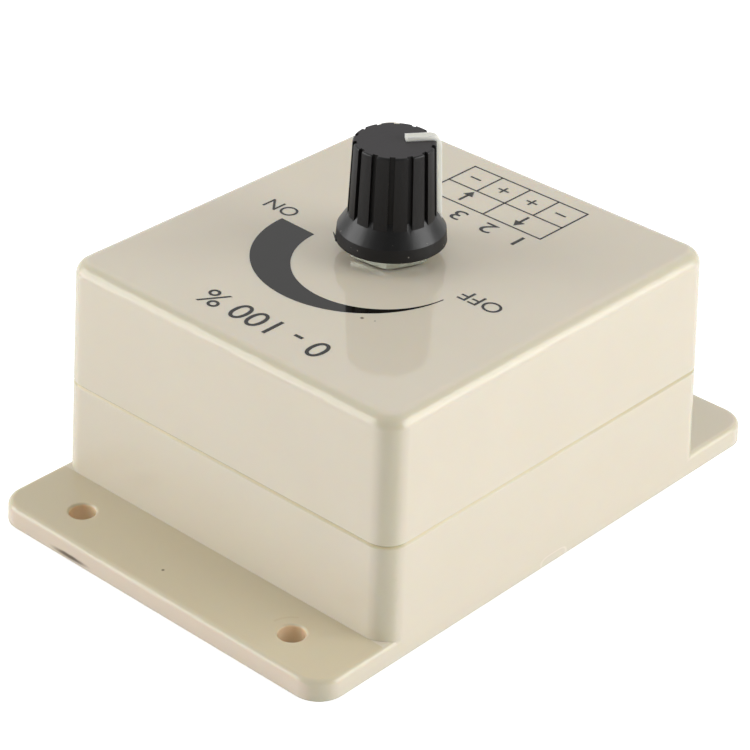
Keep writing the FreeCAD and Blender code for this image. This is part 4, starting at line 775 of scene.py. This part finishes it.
def lead_skin():
    """Flexible vinyl in a colour for each lead, with the tinned end bare below the board's face."""
    finish = Finish("lead_insulation")
    place = finish.split(finish.place)
    low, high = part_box("pot_leads")
    step = (high.x - low.x) / len(LEAD_TONES)
    tone = colour(LEAD_TONES[0])
    for number, next_tone in enumerate(LEAD_TONES[1:], 1):
        tone = finish.mix(place[0] > low.x + number * step, tone, colour(next_tone))
    bare = place[2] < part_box("circuit_board")[1].z
    finish.set(Base_Color=finish.mix(bare, tone, colour(TIN)), Metallic=bare)
    finish.set(Roughness=0.34 + finish.noise(0.5 * MM) * 0.12)
    finish.relief(finish.noise(0.2 * MM), 0.008 * MM, 0.4)
    return finish.material


coated(plated("cast_zinc", CAST_GREY, CAST_DARK, 0.34, CAST_GRAIN), "pot_neck_plate")
coated(plated("pot_can_plate", SCREW_BRIGHT, CAN_DULL, 0.18), "pot_can")
coated(laminate(), "pot_wafer", "pot_rotor")
coated(carbon_print(), "pot_track")
coated(turned_metal("shaft_aluminium", SHAFT_SILVER, SHAFT_DULL, 0.24), "pot_shaft")
coated(turned_metal("spring_steel", SPRING_STEEL, SPRING_DARK, 0.3), "pot_circlip")
coated(plated("wiper_brass", BRASS, BRASS_DULL, 0.2), "pot_wiper")
coated(TIN_PLATE, "pot_terminals")
coated(lead_skin(), "pot_leads")


# Circuit board
# Glass epoxy under green solder mask, with copper tracks that show as paler ridges through it. It stands on
# four standoffs and is cut away round the posts of the case screws.
MASK_GREEN = (26, 96, 52)
MASK_TRACK = (44, 128, 70)
GLASS_EDGE = (168, 166, 120)
GLASS_EDGE_DARK = (130, 126, 84)
TRACK_PITCH = 2.54 * MM
TRACK_WANDER = 0.35
TRACK_DEPTH = 0.03 * MM
FIBRE_SIZE = 0.3 * MM


def solder_mask():
    """Glossy mask with the tracks raised under it, and bare glass fibre along the cut edges."""
    finish = Finish("solder_mask")
    flat = abs(finish.facing()[2]) > 0.5
    mesh = {"Vector": finish.place, "Scale": 0.5 / TRACK_PITCH, "Randomness": TRACK_WANDER}
    from_edge = finish.node("TexVoronoi", {"feature": "DISTANCE_TO_EDGE"}, mesh, "Distance")
    tracks = finish.ramp(from_edge, 0.07, 0.05)
    face = finish.mix(tracks, colour(MASK_GREEN), colour(MASK_TRACK))
    fibres = finish.drawn(FIBRE_SIZE, (1.0, 1.0, 4.0))
    edge = finish.mix(fibres, colour(GLASS_EDGE), colour(GLASS_EDGE_DARK))
    finish.set(Base_Color=finish.mix(flat, edge, face), Roughness=0.5 - flat * 0.28 + fibres * 0.08)
    finish.relief(tracks * flat + fibres * 0.2, TRACK_DEPTH, 0.6)
    return finish.material


coated(solder_mask(), "circuit_board")


# Power transistor and heat sink
# The transistor's copper tab is screwed to an extruded aluminium sink with upright fins. Its body is black
# epoxy, like the chip, the regulator and the diode, and its three tinned legs go through the board.
EPOXY = (38, 37, 39)
EPOXY_GREY = (52, 51, 53)
EPOXY_GRAIN = 0.12 * MM
EPOXY_GRAIN_DEPTH = 0.012 * MM
SINK_SILVER = (178, 180, 184)
SINK_DULL = (146, 148, 152)


def extruded():
    """Extruded aluminium with die lines that run up the fins."""
    finish = Finish("sink_aluminium")
    lines = finish.drawn(0.2 * MM, (1.0, 1.0, 0.03))
    finish.set(Base_Color=finish.mix(lines, colour(SINK_DULL), colour(SINK_SILVER)), Metallic=1.0)
    finish.set(Roughness=0.32 + lines * 0.16)
    finish.relief(lines, 0.01 * MM, 0.6)
    return finish.material


BLACK_EPOXY = moulded("black_epoxy", EPOXY_GREY, EPOXY, 0.5, EPOXY_GRAIN, EPOXY_GRAIN_DEPTH)
coated(BLACK_EPOXY, "transistor_body", "timer_chip", "regulator", "power_diode")
coated(TIN_PLATE, "transistor_tab", "transistor_legs")
coated(TIN_PLATE, "timer_chip_legs", "regulator_legs", "power_diode_leads")
coated(extruded(), "heat_sink")


# Electrolytic capacitors
# Aluminium cans in a shrunk blue-black sleeve with a pale stripe on the negative side. The sleeve leaves the
# top bare, where a scored cross lets pressure out, and a rubber seal closes the foot.
SLEEVE = (28, 34, 54)
SLEEVE_LIGHT = (36, 44, 68)
STRIPE = (176, 182, 190)
CAN_SILVER = (204, 206, 208)
RUBBER = (34, 33, 34)
RUBBER_WORN = (44, 43, 44)
BARE_TOP = 0.1 * MM
SCORE_WIDTH = 0.16 * MM
SCORE_DEPTH = 0.05 * MM
DASH_STEP = 2.6 * MM
DASH_HALF = 0.3 * MM

# Shares of the can's radius: the bare top's radius, how far back the stripe starts, and half of each width.
BARE_SHARE = 0.78
STRIPE_START = 0.6
STRIPE_SHARE = 0.42
DASH_SHARE = 0.2


def capacitor_skin(node):
    """The sleeve with its dashed stripe, and the bare scored top inside it."""
    finish = Finish(node + "_sleeve")
    low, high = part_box(node)
    radius = (high.x - low.x) / 2
    x, y, z = finish.split(finish.place)
    across = x - (low.x + radius)
    back = y - (low.y + radius)
    reach = (across * across + back * back) ** 0.5
    bare = (z > high.z - BARE_TOP) * (reach < radius * BARE_SHARE)
    score = finish.ramp(abs(across + back), SCORE_WIDTH, 0) + finish.ramp(abs(across - back), SCORE_WIDTH, 0)
    stripe = (back < -radius * STRIPE_START) * (abs(across) < radius * STRIPE_SHARE)
    dash = (finish.maths("PINGPONG", z, DASH_STEP / 2) < DASH_HALF) * (abs(across) < radius * DASH_SHARE)
    sleeve = finish.mix(finish.noise(3 * MM), colour(SLEEVE), colour(SLEEVE_LIGHT))
    sleeve = finish.mix(stripe - stripe * dash, sleeve, colour(STRIPE))
    finish.set(Base_Color=finish.mix(bare, sleeve, colour(CAN_SILVER)), Metallic=bare)
    finish.set(Roughness=0.26 + bare * 0.08 + finish.noise(0.5 * MM) * 0.08)
    finish.relief(finish.noise(1.2 * MM) * 0.2 - score * bare, SCORE_DEPTH, 0.7)
    return finish.material


SEAL_RUBBER = moulded("seal_rubber", RUBBER_WORN, RUBBER, 0.62)
for can in ("main_capacitor", "small_capacitor"):
    coated(capacitor_skin(can), can)
    coated(SEAL_RUBBER, can + "_seal")
    coated(TIN_PLATE, can + "_leads")


# Small parts
# Four carbon film resistors dipped in beige lacquer with four colour bands, and two disc capacitors dipped in
# ochre lacquer. The rows of resistors lie on the board, and the discs stand over it.
LACQUER = (198, 170, 122)
LACQUER_SHADE = (182, 152, 104)
BAND_TONES = ((96, 56, 30), (24, 22, 22), (206, 106, 34), (168, 132, 54))
BAND_PLACES = (-2.1 * MM, -1.1 * MM, -0.1 * MM, 1.8 * MM)
BAND_HALF = 0.26 * MM
DISC_OCHRE = (186, 110, 46)
DISC_SHADE = (160, 88, 34)
DISC_GRAIN = 0.5 * MM
DISC_GRAIN_DEPTH = 0.03 * MM


def banded_lacquer():
    """Beige lacquer with its colour bands, which lie at the same places on every resistor."""
    finish = Finish("resistor_lacquer")
    low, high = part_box("resistors")
    along = finish.split(finish.place)[0] - (low.x + high.x) / 2
    base = finish.mix(finish.noise(1.5 * MM), colour(LACQUER_SHADE), colour(LACQUER))
    for tone, place in zip(BAND_TONES, BAND_PLACES):
        base = finish.mix(abs(along - place) < BAND_HALF, base, colour(tone))
    finish.set(Base_Color=base, Roughness=0.24 + finish.noise(0.6 * MM) * 0.1)
    finish.relief(finish.noise(0.9 * MM), 0.03 * MM, 0.5)
    return finish.material


DISC_LACQUER = moulded("ceramic_lacquer", DISC_OCHRE, DISC_SHADE, 0.4, DISC_GRAIN, DISC_GRAIN_DEPTH)
coated(banded_lacquer(), "resistors")
coated(DISC_LACQUER, "disc_capacitors")
coated(TIN_PLATE, "resistor_leads", "disc_capacitor_leads")


# Camera, light and floor
# A long lens at the photograph's place, soft lamps left and right of the object, and a white sweep whose
# light on the object comes from overhead and from a backdrop on the far side.
CAMERA_PLACE = (-211.673 * MM, 241.367 * MM, 208.538 * MM)
CAMERA_LOOK = (0.568808, -0.641910, -0.514207)
CAMERA_ROLL = math.radians(1.903)
CAMERA_LENS = 132.485
CAMERA_NEAR = 0.01
LAMP_SIZE = 0.66
RIGHT_LAMP_PLACE = (-0.733, -0.39, 0.24)
RIGHT_LAMP_POWER = 6.3
LEFT_LAMP_PLACE = (0.60, 0.58, 0.24)
LEFT_LAMP_POWER = 5.6

camera = bpy.data.objects.new("camera", bpy.data.cameras.new("camera"))
bpy.context.scene.collection.objects.link(camera)
camera.location = CAMERA_PLACE
aim = Vector(CAMERA_LOOK).to_track_quat("-Z", "Y").to_matrix()
camera.rotation_euler = (aim @ Matrix.Rotation(CAMERA_ROLL, 3, "Z")).to_euler()
camera.data.lens = CAMERA_LENS
camera.data.clip_start = CAMERA_NEAR
bpy.context.scene.camera = camera
bpy.context.scene.view_settings.view_transform = "Standard"


def lamp(name, place, power):
    """A square soft lamp that looks at the middle of the object's foot."""
    light = bpy.data.lights.new(name, "AREA")
    light.size = LAMP_SIZE
    light.energy = power
    holder = bpy.data.objects.new(name, light)
    bpy.context.scene.collection.objects.link(holder)
    holder.location = place
    holder.rotation_euler = (-Vector(place)).to_track_quat("-Z", "Y").to_euler()


lamp("right_lamp", RIGHT_LAMP_PLACE, RIGHT_LAMP_POWER)
lamp("left_lamp", LEFT_LAMP_PLACE, LEFT_LAMP_POWER)

# The sweep is white to the camera. What lights the object is dimmer on the camera's side, and has a brighter
# backdrop on the far side that fades out between two heights.
AMBIENT = 0.42
FRONT_SHADE = 0.7
TOWARDS_CAMERA = (-0.57, 0.64, 0.51)
OVERHEAD = 0.9
BACKDROP = 0.26
TOWARDS_BACKDROP = (0.656, -0.755, 0.0)
BACKDROP_SIDES = (0.2, 0.7)
BACKDROP_TOP = math.sin(math.radians(38))
BACKDROP_END = math.sin(math.radians(60))

world = bpy.data.worlds.new("studio")
bpy.context.scene.world = world
world.use_nodes = True


class Sweep(Finish):
    """The studio's own nodes, written in the way of a material's."""

    def __init__(self):
        self.tree = world.node_tree
        self.skin = self.tree.nodes["Background"]
        self.place = self.node("TexCoord", {}, {}, "Generated")

    def towards(self, direction):
        """How far a ray heads in one direction, from -1 to 1."""
        return self.node("VectorMath", {"operation": "DOT_PRODUCT"}, {0: self.place, 1: direction}, "Value")


sweep = Sweep()
front = sweep.maths("MAXIMUM", sweep.towards(TOWARDS_CAMERA), 0.0)
height = sweep.split(sweep.place)[2]
across_backdrop = sweep.ramp(sweep.towards(TOWARDS_BACKDROP), *BACKDROP_SIDES)
backdrop = across_backdrop * sweep.ramp(height, BACKDROP_END, BACKDROP_TOP)
seen = sweep.node("LightPath", {}, {}, "Is Camera Ray")
glow = AMBIENT * (1 - front * front * FRONT_SHADE) * (1 + height * height * OVERHEAD) + backdrop * BACKDROP
sweep.set(Color=(1, 1, 1, 1), Strength=seen + (1 - seen) * glow)

FLOOR_SIZE = 6.0
FLOOR_GAP = 0.02 * MM
FLOOR_WHITE = (0.9, 0.9, 0.9, 1)
FLOOR_DARK = (0, 0, 0, 1)
FLOOR_GLOW = (0.5, 0.5, 0.5, 1)
MIRRORED_GLOW = 0.5

bpy.ops.mesh.primitive_plane_add(size=FLOOR_SIZE, location=(0, 0, -FLOOR_GAP))
floor = bpy.context.active_object
floor.name = "floor"
floor_finish = Finish("studio_floor")
mirrored = floor_finish.node("LightPath", {}, {}, "Is Glossy Ray")
watched = floor_finish.node("LightPath", {}, {}, "Is Camera Ray") + mirrored * MIRRORED_GLOW
floor_finish.set(Base_Color=FLOOR_WHITE, Roughness=0.9, Specular_IOR_Level=0.0, Emission_Strength=1.0)
floor_finish.set(Emission_Color=floor_finish.mix(watched, FLOOR_DARK, FLOOR_GLOW))
floor.data.materials.append(floor_finish.material)
